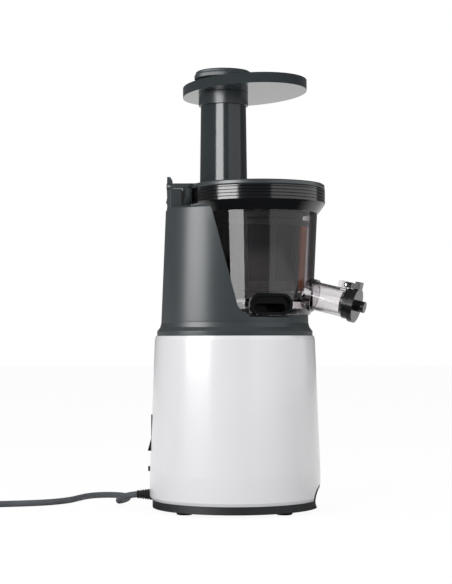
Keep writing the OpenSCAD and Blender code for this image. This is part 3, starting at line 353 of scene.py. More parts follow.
def pvc_extruded_cord(colour):
    """PVC mains lead: grey and half matt, with a skin that is finely uneven."""
    made, tree, shader = new_finish("pvc_extruded_cord", Roughness=0.46, IOR=1.53)
    place = add_node(tree, "ShaderNodeTexCoord").outputs["Object"]
    fine = add_node(tree, "ShaderNodeTexNoise",
                    {"Vector": place, "Scale": per_metre(1.0), "Detail": 3.0})
    bump = add_node(tree, "ShaderNodeBump",
                    {"Strength": 0.5, "Distance": 0.03 * MM, "Height": fine.outputs["Fac"]})
    tree.links.new(bump.outputs[0], shader.inputs["Normal"])
    tone(tree, shader, place, shade(colour, 0.9), shade(colour, 1.1), 22)
    return made


def nylon_woven_tie():
    """Woven hook tape: dull black with raised ribs across it, and painted shade in its furrows."""
    # ribs 0.6 mm apart
    # the darker colour of the furrows is painted shade between the ribs
    return banded("nylon_woven_tie", {"Scale": bands_at(0.6), "Distortion": 0.5}, 0.15, 0.8,
                  "#0E0F10", "#2B2C2E", Roughness=0.85, Sheen_Weight=0.4, Sheen_Roughness=0.4)


def brass_plated_pin():
    """Nickel-plated brass of the plug's pins: bright, with draw marks along it."""
    made, tree, shader = new_finish("brass_plated_pin", Metallic=1.0, Base_Color=srgb("#CFCBC0"))
    place = add_node(tree, "ShaderNodeTexCoord").outputs["Object"]
    marks = add_node(tree, "ShaderNodeTexNoise", {"Vector": place, "Scale": per_metre(0.8)})
    rough = add_node(tree, "ShaderNodeMapRange",
                     {"Value": marks.outputs["Fac"], "To Min": 0.16, "To Max": 0.32})
    tree.links.new(rough.outputs[0], shader.inputs["Roughness"])
    return made


FINISHES = {}


def finish(name, make, *colours, **more):
    """The material of that name, made the first time that it is asked for."""
    if name not in FINISHES:
        FINISHES[name] = make(*colours, **more)
    return FINISHES[name]


def coat(names, material, smooth_deg=35):
    """Gives CAD nodes or new pieces one material, and lets their curved faces shade smoothly."""
    for name in names:
        piece = CAD[name] if isinstance(name, str) else name
        piece.data.materials.clear()
        piece.data.materials.append(material)
        for face in piece.data.polygons:
            face.material_index = 0
            face.use_smooth = True
        if piece.data.has_custom_normals:
            continue
        edges = bmesh.new()
        edges.from_mesh(piece.data)
        sharp = [e.index for e in edges.edges
                 if len(e.link_faces) != 2 or e.calc_face_angle(0.0) > math.radians(smooth_deg)]
        edges.free()
        for index in sharp:
            piece.data.edges[index].use_edge_sharp = True


# ---------------------------------------------------------------- mesh tools

# the radius in mm of a ring on the axis, so that none of its faces is flat
ON_AXIS = 0.01


def mesh_piece(name, verts, faces, body="root", slot=None):
    """A new piece from points in metres, riding on a CAD body."""
    data = bpy.data.meshes.new(name)
    data.from_pydata([tuple(v) for v in verts], [], faces)
    fixed = bmesh.new()
    fixed.from_mesh(data)
    bmesh.ops.recalc_face_normals(fixed, faces=fixed.faces)
    fixed.to_mesh(data)
    fixed.free()
    made = bpy.data.objects.new(name, data)
    bpy.context.scene.collection.objects.link(made)
    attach(made, body)
    return made


def loft(rings, closed_ends=True):
    """Points and faces of a skin over closed rings of equal count."""
    n = len(rings[0])
    verts = [p for ring in rings for p in ring]
    faces = [(i * n + j, i * n + (j + 1) % n, (i + 1) * n + (j + 1) % n, (i + 1) * n + j)
             for i in range(len(rings) - 1) for j in range(n)]
    if closed_ends:
        faces += [tuple(range(n)), tuple((len(rings) - 1) * n + j for j in range(n))]
    return verts, faces


def lathe(profile, place, steps):
    """Rings of a turned form: profile is (radius, height) in mm, place maps its axis."""
    rings = []
    for r, z in profile:
        r = max(r, ON_AXIS)
        rings.append([place @ Vector((r * MM * math.cos(a), r * MM * math.sin(a), z * MM))
                      for a in [2 * math.pi * k / steps for k in range(steps)]])
    return rings


def swept(line, radius, sides=12):
    """Rings of a round tube along a line, carried on without twist."""
    rings, side = [], Vector((0, 1, 0))
    for i, here in enumerate(line):
        ahead = (line[min(i + 1, len(line) - 1)] - line[max(i - 1, 0)]).normalized()
        side = (side - ahead * side.dot(ahead)).normalized()
        up = ahead.cross(side)
        rings.append([here + radius * (math.cos(a) * side + math.sin(a) * up)
                      for a in [2 * math.pi * k / sides for k in range(sides)]])
    return rings


def joined(*parts):
    """Several (points, faces) pairs as one."""
    verts, faces = [], []
    for v, f in parts:
        faces += [tuple(i + len(verts) for i in face) for face in f]
        verts += list(v)
    return verts, faces


def smooth_line(points, step_mm=2.0):
    """A smooth curve through the points (a centripetal spline), as points step_mm apart."""
    pts = [Vector(p) for p in points]
    pts = [2 * pts[0] - pts[1]] + pts + [2 * pts[-1] - pts[-2]]
    out = []
    for a, b, c, d in zip(pts, pts[1:], pts[2:], pts[3:]):
        t0 = 0.0
        t1 = t0 + math.sqrt((b - a).length)
        t2 = t1 + math.sqrt((c - b).length)
        t3 = t2 + math.sqrt((d - c).length)
        count = max(2, int((c - b).length / (step_mm * MM)))
        for k in range(count):
            t = t1 + (t2 - t1) * k / count
            e = (t1 - t) / (t1 - t0) * a + (t - t0) / (t1 - t0) * b
            f = (t2 - t) / (t2 - t1) * b + (t - t1) / (t2 - t1) * c
            g = (t3 - t) / (t3 - t2) * c + (t - t2) / (t3 - t2) * d
            h = (t2 - t) / (t2 - t0) * e + (t - t0) / (t2 - t0) * f
            i = (t3 - t) / (t3 - t1) * f + (t - t1) / (t3 - t1) * g
            out.append((t2 - t) / (t2 - t1) * h + (t - t1) / (t2 - t1) * i)
    out.append(pts[-2])
    return out


# ---------------------------------------------------------------- mains lead

# all in millimetres. A lead on the table has its middle at this height
CORD_LOW = 3.3
# the points of the part's source. The outermost one lies 0.2 mm further in, because the round
# tube reaches past the CAD's flat-sided one
CORD_ROUTE = [(-121.2, 0, 14.8), (-127, 1, 14), (-134, 6, 12), (-139, 14, 9), (-142, 26, 6),
              (-142, 42, 4), (-139, 60, CORD_LOW), (-137, 76, CORD_LOW), (-140, 92, CORD_LOW),
              (-149, 103, CORD_LOW), (-161, 106.8, CORD_LOW), (-173, 103, CORD_LOW),
              (-182, 92, CORD_LOW), (-188, 76, CORD_LOW), (-194, 58, CORD_LOW),
              (-204, 42, CORD_LOW), (-218, 30, CORD_LOW), (-236, 22, CORD_LOW),
              (-256, 16, CORD_LOW), (-276, 11, CORD_LOW), (-296, 7, CORD_LOW)]
COIL_CENTRE = (-318.0, 44.0)
COIL_RADIUS = 35.0
# from one turn to the next: the lead and a little air
COIL_PITCH = 6.4
# where the coil starts, how much more than whole turns it is wound, and how finely it is drawn
COIL_START_DEG, COIL_EXTRA_DEG, COIL_STEP_DEG = -78.3, 14, 9
# the share of a turn in which the lead crosses to the next lane
CROSSING = 0.14
LEAD_ROUTE = [(-331, 9.5, 8.6), (-342, 2.5, 5.4), (-349.5, -8, 3.6), (-352, -18, 3.6),
              (-352, -26.4, 8)]
PLUG_AT = (-352.0, -36.0)
# from the plug's middle back to its neck, and up to its axis
PLUG_BACK, PLUG_HIGH = 9.8, 12.0


def coil_points(pitch, turns):
    """Round turns, clockwise from above: outer and inner below, then inner and outer on top."""
    half = pitch / 2
    start = math.radians(COIL_START_DEG)
    total = 2 * math.pi * turns + math.radians(COIL_EXTRA_DEG)
    lanes = [(half, CORD_LOW), (-half, CORD_LOW), (-half, CORD_LOW + pitch),
             (half, CORD_LOW + pitch)]
    count = int(total / math.radians(COIL_STEP_DEG))
    points = []
    for k in range(count + 1):
        wound = total * k / count
        # the last lap ends just short of a whole number, which would be one lane too many
        lap = min(wound / (2 * math.pi), turns - 1e-6)
        lane, share = int(lap), lap - int(lap)
        ease = max(0.0, (share - (1 - CROSSING)) / CROSSING)
        ease = ease * ease * (3 - 2 * ease)
        here, then = lanes[lane], lanes[min(lane + 1, turns - 1)]
        r = COIL_RADIUS + here[0] + (then[0] - here[0]) * ease
        z = here[1] + (then[1] - here[1]) * ease
        a = start - wound
        points.append((COIL_CENTRE[0] + r * math.cos(a), COIL_CENTRE[1] + r * math.sin(a), z))
    return points


def plug_place():
    """The plug's axis: from the lead's end towards the pins, along -Y."""
    return (Matrix.Translation(Vector((PLUG_AT[0], PLUG_AT[1] + PLUG_BACK, PLUG_HIGH)) * MM)
            @ Matrix.Rotation(math.radians(90), 4, "X"))


class JuicerCord(bpy.types.PropertyGroup):
    diameter: FloatProperty(name="Lead diameter", description="Outside of the mains lead",
                            default=6.3 * MM, min=5 * MM, max=8 * MM, unit="LENGTH")
    turns: IntProperty(name="Turns", default=4, min=4, max=4,
                       description="Turns of the coil that the spare lead is wound into")
    tie_width: FloatProperty(name="Tie width", description="Width of the tape round the coil",
                             default=12 * MM, min=6 * MM, max=20 * MM, unit="LENGTH")
    colour: FloatVectorProperty(name="Lead colour", description="Colour of the PVC sheath",
                                subtype="COLOR", default=srgb("#5A5D62"), min=0, max=1)


class JuicerFinishes(bpy.types.PropertyGroup):
    white: FloatVectorProperty(name="Motor base", description="Gloss white of the motor base",
                               subtype="COLOR", default=srgb("#ECECEE"), min=0, max=1)
    slate: FloatVectorProperty(name="Housing", description="Satin slate of tower, lid and cap",
                               subtype="COLOR", default=srgb("#3A4043"), min=0, max=1)
    slate_gloss: FloatVectorProperty(name="Chute", description="Slate of chute, tray and pusher",
                                     subtype="COLOR", default=srgb("#32383B"), min=0, max=1)
    pan: FloatVectorProperty(name="Base pan", description="Dark pan under the motor base",
                             subtype="COLOR", default=srgb("#26292B"), min=0, max=1)
    bowl: FloatVectorProperty(name="Bowl", description="Tint of the clear, lightly smoked bowl",
                              subtype="COLOR", default=srgb("#D8D3D6"), min=0, max=1)
    spout: FloatVectorProperty(name="Juice spout", description="Tint of the clear juice spout",
                               subtype="COLOR", default=srgb("#EDEBEC"), min=0, max=1)
    collar: FloatVectorProperty(name="Bowl collar", description="Black of the ring on the bowl",
                                subtype="COLOR", default=srgb("#131416"), min=0, max=1)
    strainer: FloatVectorProperty(name="Strainer frame", description="Black of both frames",
                                  subtype="COLOR", default=srgb("#141416"), min=0, max=1)
    wiper: FloatVectorProperty(name="Wiper blades", description="Orange silicone of the blades",
                               subtype="COLOR", default=srgb("#E2702F"), min=0, max=1)
    stopper: FloatVectorProperty(name="Spout stopper", description="Near black of the stopper",
                                 subtype="COLOR", default=srgb("#1A1B1D"), min=0, max=1)


class JuicerStudio(bpy.types.PropertyGroup):
    distance: FloatProperty(name="Camera distance", default=1.536, min=0.5, max=5, unit="LENGTH",
                            description="From the bowl's axis to the camera")
    height: FloatProperty(name="Camera height", description="Height of the camera above the table",
                          default=0.1703, min=0, max=2, unit="LENGTH")
    strip: FloatProperty(name="Strip glow", default=8.0, min=0,
                         description="Brightness of the strip softbox that gloss mirrors")
    panel: FloatProperty(name="Panel glow", description="Brightness of the pale wall on the right",
                         default=1.4, min=0)
    key_power: FloatProperty(name="Key light", description="Power of the soft light from the left",
                             default=8.5, min=0, unit="POWER")
    top_power: FloatProperty(name="Top light", description="Power of the softbox overhead",
                             default=6.0, min=0, unit="POWER")
    fill: FloatProperty(name="Room fill", description="Strength of the even light of the room",
                        default=0.55, min=0, max=2)


class JuicerSettings(bpy.types.PropertyGroup):
    cord: PointerProperty(type=JuicerCord)
    finishes: PointerProperty(type=JuicerFinishes)
    studio: PointerProperty(type=JuicerStudio)


def settings():
    return bpy.context.scene.juicer


# ---------------------------------------------------------------- operators

# how the camera is turned from straight ahead, raised and rolled, in radians
CAMERA_TURN, CAMERA_RISE, CAMERA_ROLL = 0.021, 0.030, -0.002
FOCAL_PX, PICTURE_PX, SENSOR_MM = 1536.0, 584.0, 36.0


class JUICER_OT_camera(bpy.types.Operator):
    """Sets the camera to look at the side of the juicer, as in the photograph"""
    bl_idname = "juicer.camera"
    bl_label = "Camera"

    def execute(self, context):
        studio = settings().studio
        level = math.cos(CAMERA_RISE)
        ahead = Vector((-math.sin(CAMERA_TURN) * level, math.cos(CAMERA_TURN) * level,
                        math.sin(CAMERA_RISE)))
        side = Vector((math.cos(CAMERA_TURN), math.sin(CAMERA_TURN), 0))
        up = side.cross(ahead)
        side, up = (side * math.cos(CAMERA_ROLL) + up * math.sin(CAMERA_ROLL),
                    up * math.cos(CAMERA_ROLL) - side * math.sin(CAMERA_ROLL))
        data = bpy.data.cameras.new("side_camera")
        data.sensor_fit = "VERTICAL"
        data.sensor_height = SENSOR_MM
        data.lens = FOCAL_PX / PICTURE_PX * SENSOR_MM
        data.clip_start, data.clip_end = 0.05, 50
        made = bpy.data.objects.new("side_camera", data)
        context.scene.collection.objects.link(made)
        axes = Matrix((side, up, -ahead)).transposed().to_4x4()
        made.matrix_world = Matrix.Translation((0, -studio.distance, studio.height)) @ axes
        context.scene.camera = made
        return {"FINISHED"}


# the power that makes a circle's cosine and sine those of a rounded square
SQUARED = 0.45


class JUICER_OT_cord(bpy.types.Operator):
    """Lays the mains lead along the table and winds the spare length into a tied coil"""
    bl_idname = "juicer.cord"
    bl_label = "Mains lead"

    def execute(self, context):
        cord = settings().cord
        d = cord.diameter / MM
        route = CORD_ROUTE + coil_points(COIL_PITCH, cord.turns) + LEAD_ROUTE
        line = smooth_line([Vector(p) * MM for p in route])
        lead = mesh_piece("mains_lead", *loft(swept(line, d / 2 * MM)), "root", "cord_grey")
        coat([lead], finish("pvc", pvc_extruded_cord, tuple(cord.colour)), 50)
        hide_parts("power_cord", "cord_coil")
        tie = self.tie(cord.tie_width)
        return {"FINISHED"}

    def tie(self, width):
        """Tape round the four turns, with its loose end folded down on the inside. The lengths
        here are in millimetres."""
        angle = math.radians(52)
        out = Vector((math.cos(angle), math.sin(angle), 0))
        along = Vector((-out.y, out.x, 0))
        centre = Vector((*COIL_CENTRE, 0)) + out * COIL_RADIUS
        # an inner loop and an outer one, as rounded squares; neither goes below the table
        loops = []
        for grow, lowest in ((0.1, 0.1), (1.0, 0.02)):
            half = COIL_PITCH + grow
            loop = []
            for k in range(32):
                a = 2 * math.pi * k / 32
                c, s = math.cos(a), math.sin(a)
                x = half * math.copysign(abs(c) ** SQUARED, c)
                z = half * math.copysign(abs(s) ** SQUARED, s)
                loop.append((x, max(z + 6.5, lowest)))
            loops.append(loop)
        inner, outer = loops
        w = width / MM / 2
        chamfer = 0.3
        rings = [[(centre + out * x + along * offset + Vector((0, 0, z))) * MM for x, z in loop]
                 for loop, offset in ((inner, -w), (outer, -w + chamfer), (outer, w - chamfer),
                                      (inner, w))]
        rings.append(rings[0])
        body = loft(rings, closed_ends=False)
        half_tab, thick = w * 0.8, 0.9
        section = ((0, -half_tab, 0), (0, half_tab, 0), (thick, half_tab, 0.2),
                   (thick, -half_tab, 0.2))
        tab = [[(centre + out * (x + dx) + along * dy + Vector((0, 0, z + dz))) * MM
                for dx, dy, dz in section] for x, z in ((-7.5, 11.5), (-9.0, 8.0), (-8.6, 4.0))]
        made = mesh_piece("coil_tie", *joined(body, loft(tab)), "root", "rubber_black")
        coat([made], finish("tie", nylon_woven_tie), 50)
        return made


class JUICER_OT_plug(bpy.types.Operator):
    """Builds the moulded two-pin plug with its ribbed grip, neck sleeve and sleeved pins"""
    bl_idname = "juicer.plug"
    bl_label = "Plug"

    def execute(self, context):
        place = plug_place()
        # profiles are (radius, distance from the neck) in millimetres
        neck = [(3.3, 0), (4.6, 0), (5.0, 0.6)]
        for k in range(4):
            z = 1.4 + k * 2.6
            neck += [(5.2 + k * 0.75, z), (5.6 + k * 0.8, z + 0.5), (5.6 + k * 0.8, z + 1.5),
                     (5.0 + k * 0.8, z + 1.8)]
        body = [(9.2, 12.4), (10.6, 14.0), (11.4, 15.5)]
        for k in range(5):
            z = 16.8 + k * 2.4
            body += [(11.4, z), (11.95, z + 0.4), (11.95, z + 1.4), (11.4, z + 1.8)]
        body += [(11.6, 29.6), (11.95, 30.4), (11.95, 34.6), (11.5, 35.7), (10.6, 36.0), (0, 36.0)]
        sleeve_profile = [(2.4, 35.6), (2.4, 36.4), (1.9, 36.8), (1.9, 45.6)]
        tip_profile = [(1.95, 45.6), (2.1, 45.9), (2.15, 52.0), (1.8, 53.2), (1.0, 53.9),
                       (0, 54.0)]
        shell = mesh_piece("plug_shell", *loft(lathe(neck + body, place, 40)), "root",
                           "rubber_black")
        black = finish("pp_cord", polypropylene_moulded_black, srgb("#2A2C2E"))
        coat([shell], black, 40)
        sleeves, tips = [], []
        for side in (-9.5, 9.5):
            at = place @ Matrix.Translation(Vector((side, 0, 0)) * MM)
            sleeves.append(loft(lathe(sleeve_profile, at, 24)))
            tips.append(loft(lathe(tip_profile, at, 24)))
        sleeve = mesh_piece("plug_sleeves", *joined(*sleeves), "root", "rubber_black")
        sleeve.parent = shell
        sleeve.matrix_parent_inverse = Matrix.Identity(4)
        coat([sleeve], black, 40)
        pins = mesh_piece("plug_pins", *joined(*tips), "root", "steel")
        coat([pins], finish("pin", brass_plated_pin), 40)
        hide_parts("plug")
        return {"FINISHED"}


class JUICER_OT_strain_relief(bpy.types.Operator):
    """Builds the tapered, ribbed sleeve where the lead leaves the motor base"""
    bl_idname = "juicer.strain_relief"
    bl_label = "Strain relief"

    def execute(self, context):
        low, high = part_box("strain_relief")
        place = (Matrix.Translation((low.x, 0, (low.z + high.z) / 2))
                 @ Matrix.Rotation(math.radians(90), 4, "Y"))
        # (radius, distance from the thin end) in millimetres, with five ribs that grow
        profile = [(3.25, 0.05), (3.75, 0.0), (3.95, 0.5)]
        for k in range(5):
            z, r = 0.9 + k * 2.35, 3.95 + k * 0.31
            profile += [(r, z), (r + 0.1, z + 0.2), (r + 0.15, z + 1.35), (r - 0.55, z + 1.6),
                        (r - 0.5, z + 2.2)]
        profile += [(5.5, 12.8), (5.6, 13.0), (5.6, 17.0), (7.15, 17.1), (7.2, 21.9), (0, 22.0)]
        made = mesh_piece("cord_sleeve", *loft(lathe(profile, place, 40)), "root", "rubber_black")
        coat([made], finish("rubber", rubber_moulded_black), 40)
        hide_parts("strain_relief")
        return {"FINISHED"}


class JUICER_OT_base(bpy.types.Operator):
    """Finishes the motor base, its dark pan, its feet and screws, and the switches"""
    bl_idname = "juicer.base"
    bl_label = "Motor base"

    def execute(self, context):
        look = settings().finishes
        coat(["base_shell"], finish("white", abs_moulded_gloss_white, tuple(look.white)))
        coat(["base_pan"], finish("pan", polypropylene_moulded_black, tuple(look.pan)))
        coat(["feet", "motor_mounts"], finish("rubber", rubber_moulded_black))
        coat(["pan_screws"], finish("turned", stainless_turned))
        coat(["switch_rocker", "reset_button"],
             finish("rocker", abs_moulded_gloss_black, "abs_moulded_gloss_rocker",
                    srgb("#1A1B1D"), 0.22))
        coat(["switch_body", "breaker_body"],
             finish("nylon_black", nylon_moulded, "nylon_moulded_black", srgb("#17181A")))
        return {"FINISHED"}


class JUICER_OT_housing(bpy.types.Operator):
    """Finishes the slate tower that stands behind the bowl"""
    bl_idname = "juicer.housing"
    bl_label = "Tower"

    def execute(self, context):
        look = settings().finishes
        coat(["upper_housing"], finish("slate", abs_moulded_satin_slate, tuple(look.slate)))
        return {"FINISHED"}


class JUICER_OT_drive(bpy.types.Operator):
    """Finishes the motor, the two-stage gearbox, the drive shaft and the control board"""
    bl_idname = "juicer.drive"
    bl_label = "Motor and gears"

    def execute(self, context):
        coat(["motor_stator", "motor_rotor"], finish("laminated", steel_laminated))
        coat(["motor_windings"], finish("copper", copper_enamelled))
        coat(["motor_upper_bracket", "motor_lower_bracket", "gearbox_housing", "gearbox_cover",
              "chassis_plate"], finish("zinc", zinc_die_cast))
        coat(["motor_bearings", "motor_shaft", "motor_pinion", "idler_pin", "output_bearing",
              "drive_shaft"], finish("turned", stainless_turned))
        coat(["cooling_fan"], finish("nylon_black", nylon_moulded, "nylon_moulded_black",
                                     srgb("#17181A")))
        coat(["idler_gear", "output_gear", "wiper_pinion", "auger_bush"],
             finish("nylon", nylon_moulded, "nylon_moulded_natural", srgb("#DAD6C8")))
        coat(["circuit_board"], finish("board", epoxy_glass_board))
        coat(["shaft_seal"], finish("rubber", rubber_moulded_black))
        return {"FINISHED"}


class JUICER_OT_bowl(bpy.types.Operator):
    """Finishes the clear bowl, its black collar, both spouts and the stopper"""
    bl_idname = "juicer.bowl"
    bl_label = "Bowl and spouts"

    def execute(self, context):
        look = settings().finishes
        # each second colour paints the outline darker, partly as painted shade of the refracted
        # room
        coat(["bowl"], finish("smoked", copolyester_moulded_clear, "copolyester_moulded_smoked",
                              tuple(look.bowl), srgb("#3A3436")))
        coat(["juice_spout"],
             finish("clear", copolyester_moulded_clear, "copolyester_moulded_clear",
                    tuple(look.spout), srgb("#9A9496")))
        coat(["bowl_ring"], finish("collar", abs_moulded_gloss_black, "abs_moulded_gloss_black",
                                   tuple(look.collar)))
        coat(["pulp_spout"], finish("pulp", abs_moulded_gloss_black, "abs_moulded_gloss_spout",
                                    srgb("#101113"), 0.12))
        coat(["juice_stopper"],
             finish("stopper", abs_moulded_gloss_black, "silicone_polished_grey",
                    tuple(look.stopper), 0.2))
        coat(["stopper_pin"], finish("turned", stainless_turned))
        coat(["bowl_seal"], finish("rubber", rubber_moulded_black))
        return {"FINISHED"}


class JUICER_OT_strainer(bpy.types.Operator):
    """Finishes the strainer, the wiper round it and the auger inside it"""
    bl_idname = "juicer.strainer"
    bl_label = "Strainer, wiper and auger"

    def execute(self, context):
        look = settings().finishes
        coat(["strainer_frame", "wiper_frame"],
             finish("frame", polyetherimide_moulded_black, tuple(look.strainer)))
        coat(["auger", "auger_flights"],
             finish("auger", abs_moulded_gloss_black, "melamine_moulded_black",
                    srgb("#121315"), 0.2))
        # the sheet's dark grey is painted shade of the inside of the bowl; bare stainless is far
        # lighter
        coat(["strainer_mesh"], finish("mesh", stainless_perforated, srgb("#303032")))
        coat(["wiper_blades"], finish("orange", silicone_moulded, "silicone_moulded_orange",
                                      tuple(look.wiper)))
        coat(["auger_pin"], finish("turned", stainless_turned))
        return {"FINISHED"}


class JUICER_OT_lid(bpy.types.Operator):
    """Finishes the lid with its chute, gasket and latch"""
    bl_idname = "juicer.lid"
    bl_label = "Lid"

    def execute(self, context):
        look = settings().finishes
        coat(["lid", "latch_lever"], finish("slate", abs_moulded_satin_slate, tuple(look.slate)))
        coat(["feed_chute"],
             finish("slate_gloss", abs_moulded_gloss_slate, tuple(look.slate_gloss)))
        coat(["lid_gasket"], finish("gasket", silicone_moulded, "silicone_moulded_pale",
                                    srgb("#B9BABB")))
        coat(["latch_pin"], finish("turned", stainless_turned))
        self.tongue(tuple(look.slate))
        return {"FINISHED"}

    def tongue(self, slate):
        """The flange that closes the gap between the lid's arm and the collar. Its front face is
        slanted, so that it catches the strip light. Points and heights are in millimetres."""
        low, arm, high = 300.8, 318.45, 323.2
        under_arm = [(-72.6, -20.02), (-72.6, -22.02), (-66.6, -24.9), (-66.4, -14),
                     (-69.36, -14), (-69.36, -20.02)]
        beside_arm = [(-72.6, -22.02), (-66.6, -24.9), (-66.5, -22.02)]
        parts = [loft([[Vector((x, y, z)) * MM for x, y in outline] for z in heights])
                 for outline, heights in ((under_arm, (low, arm)), (beside_arm, (arm, high)))]
        made = mesh_piece("lid_tongue", *joined(*parts), "lid", "dark_lid")
        coat([made], finish("slate", abs_moulded_satin_slate, slate))


class JUICER_OT_tray(bpy.types.Operator):
    """Finishes the feeding tray and the pusher"""
    bl_idname = "juicer.tray"
    bl_label = "Tray and pusher"

    def execute(self, context):
        look = settings().finishes
        coat(["tray"], finish("slate_gloss", abs_moulded_gloss_slate, tuple(look.slate_gloss)))
        coat(["tray_hub", "pusher"],
             finish("slate_fine", abs_moulded_fine_slate, tuple(look.slate_gloss)))
        coat(["pusher_cap"], finish("slate", abs_moulded_satin_slate, tuple(look.slate)))
        return {"FINISHED"}


# half the side of the floor, in metres
FLOOR_REACH = 8.0
# what gloss mirrors of the floor in front and of the room, as shares of white
STUDIO_FLOOR, DIM_ROOM = 0.03, 0.13


class JUICER_OT_stage(bpy.types.Operator):
    """Builds the pale floor, the lamps and the even light of a plain studio"""
    bl_idname = "juicer.stage"
    bl_label = "Studio"

    def execute(self, context):
        studio = settings().studio
        data = bpy.data.meshes.new("studio_floor")
        corners = [(-1, -1), (1, -1), (1, 1), (-1, 1)]
        data.from_pydata([(x * FLOOR_REACH, y * FLOOR_REACH, 0) for x, y in corners],
                         [], [(0, 1, 2, 3)])
        floor = bpy.data.objects.new("studio_floor", data)
        context.scene.collection.objects.link(floor)
        data.materials.append(self.floor_finish())
        self.world(context, studio.fill)
        self.panels(studio)
        # the bowl mirrors the whole strip: in the photograph no tower stands in its way
        CAD["upper_housing"].visible_glossy = False
        # what lights the colours
        self.lamp("key_left", (-0.85, -1.25, 0.75), (0.9, 0.9), studio.key_power)
        self.lamp("softbox_top", (0.0, -0.2, 1.5), (1.2, 1.2), studio.top_power)
        context.scene.view_settings.view_transform = "Standard"
        return {"FINISHED"}

    def panels(self, studio):
        """What gloss mirrors: a tall strip on the left and a pale wall on the right, each in the
        place that suits the pieces that it is linked to."""
        chute = ("feed_chute", "tray_hub", "pusher")
        single = ("bowl", "pulp_spout", "upper_housing", "tray", "pusher_cap", *chute)
        rest = [name for name in CAD if name not in single]
        under = [name for name in rest if name != "base_shell"]
        strip_far, wall_far, tall = 1.25, 1.5, (0.20, 1.25)
        strips = (("strip_left", 218, strip_far, tall, 36, 1.5, under),
                  ("strip_base", 218, strip_far, tall, 36, 1.1, ("base_shell",)),
                  ("strip_bowl", 229, 0.55, (0.01, 0.75), 29, 0.72, ("bowl",)),
                  ("strip_tower", 207, strip_far, (0.23, 1.25), 36, 1.1, ("upper_housing",)),
                  ("strip_chute", 251, strip_far, tall, 35, 1.2, chute),
                  ("strip_cap", 222, strip_far, tall, 100, 0.62, ("pusher_cap",)))
        for name, turn, away, heights, wide, share, only in strips:
            self.mirrored(name, turn, away, heights, wide, studio.strip * share, only)
        for turn in (316, 364):
            self.mirrored(f"wall_right_{turn}", turn, wall_far, (0.15, 1.3), 48, studio.panel,
                          rest)
            self.mirrored(f"wall_bowl_{turn}", turn, wall_far, (0.05, 1.3), 48,
                          studio.panel * 0.55, ("bowl",))
        self.mirrored("wall_right_slate", 330, wall_far, (0.15, 1.3), 70, studio.panel * 0.5,
                      ("upper_housing", *chute))

    def floor_finish(self):
        """White paper sweep: seen as white, but for the object's soft shadow. It lies under and
        behind the object; gloss finds the dark studio floor in front of it."""
        made = bpy.data.materials.new("paper_coated_white")
        made.use_nodes = True
        tree = made.node_tree
        tree.nodes.clear()
        seen = add_node(tree, "ShaderNodeLightPath")
        place = add_node(tree, "ShaderNodeTexCoord").outputs["Object"]
        depth = add_node(tree, "ShaderNodeSeparateXYZ", {"Vector": place}).outputs["Y"]
        paper_lies = add_node(tree, "ShaderNodeMapRange",
                              {"Value": depth, "From Min": 0.0, "From Max": 0.3}).outputs[0]
        mirrored = add_node(tree, "ShaderNodeMath",
                            {0: seen.outputs["Is Glossy Ray"], 1: paper_lies},
                            operation="MULTIPLY").outputs[0]
        past = add_node(tree, "ShaderNodeMath", {0: seen.outputs["Is Glossy Ray"], 1: mirrored},
                        operation="SUBTRACT").outputs[0]
        tint = add_node(tree, "ShaderNodeMix",
                        {"Factor": past, COLOUR_A: (0.84, 0.84, 0.84, 1.0),
                         COLOUR_B: (STUDIO_FLOOR, STUDIO_FLOOR, STUDIO_FLOOR, 1.0)},
                        data_type="RGBA").outputs[COLOUR_OUT]
        paper = add_node(tree, "ShaderNodeBsdfDiffuse", {"Color": tint})
        glow = add_node(tree, "ShaderNodeEmission", {"Color": (1, 1, 1), "Strength": 1.02})
        # white to the camera, in the mirrored paper and through clear plastic
        straight = add_node(tree, "ShaderNodeMath",
                            {0: seen.outputs["Is Camera Ray"], 1: mirrored}, operation="ADD")
        white = add_node(tree, "ShaderNodeMath",
                         {0: straight.outputs[0], 1: seen.outputs["Is Transmission Ray"]},
                         operation="ADD", use_clamp=True)
        # the rest of it is paper, which keeps the shadow
        share = add_node(tree, "ShaderNodeMath", {0: white.outputs[0], 1: 0.92},
                         operation="MULTIPLY")
        mixed = add_node(tree, "ShaderNodeMixShader", {0: share.outputs[0], 1: paper.outputs[0],
                                                       2: glow.outputs[0]})
        add_node(tree, "ShaderNodeOutputMaterial", {"Surface": mixed.outputs[0]})
        return made

    def world(self, context, fill):
        """The even light of the room, and the white behind the object."""
        world = context.scene.world or bpy.data.worlds.new("studio_room")
        context.scene.world = world
        world.use_nodes = True
        tree = world.node_tree
        tree.nodes.clear()
        seen = add_node(tree, "ShaderNodeLightPath").outputs

        # white behind the object, also through clear plastic; but not for what lies inside the
        # bowl, whose rays have been turned by a surface
        turned = add_node(tree, "ShaderNodeMath", {0: seen["Diffuse Depth"],
                          1: seen["Glossy Depth"]}, operation="ADD", use_clamp=True)
        straight = add_node(tree, "ShaderNodeMath", {0: seen["Is Camera Ray"],
                            1: seen["Is Transmission Ray"]}, operation="ADD", use_clamp=True)
        white = add_node(tree, "ShaderNodeMath", {0: straight.outputs[0], 1: turned.outputs[0]},
                         operation="SUBTRACT", use_clamp=True)
        # gloss sees a dim room, also through the wall of the bowl
        inside = add_node(tree, "ShaderNodeMath", {0: seen["Is Transmission Ray"],
                          1: seen["Glossy Depth"]}, operation="MULTIPLY", use_clamp=True)
        gloss = add_node(tree, "ShaderNodeMath", {0: seen["Is Glossy Ray"],
                         1: inside.outputs[0]}, operation="ADD", use_clamp=True)
        room = add_node(tree, "ShaderNodeMapRange",
                        {"Value": gloss.outputs[0], "To Min": fill, "To Max": DIM_ROOM})
        strength = add_node(tree, "ShaderNodeMix", {"Factor": white.outputs[0],
                                                    "A": room.outputs[0], "B": 1.0})
        back = add_node(tree, "ShaderNodeBackground", {"Color": (1, 1, 1),
                        "Strength": strength.outputs[0]})
        add_node(tree, "ShaderNodeOutputWorld", {"Surface": back.outputs[0]})

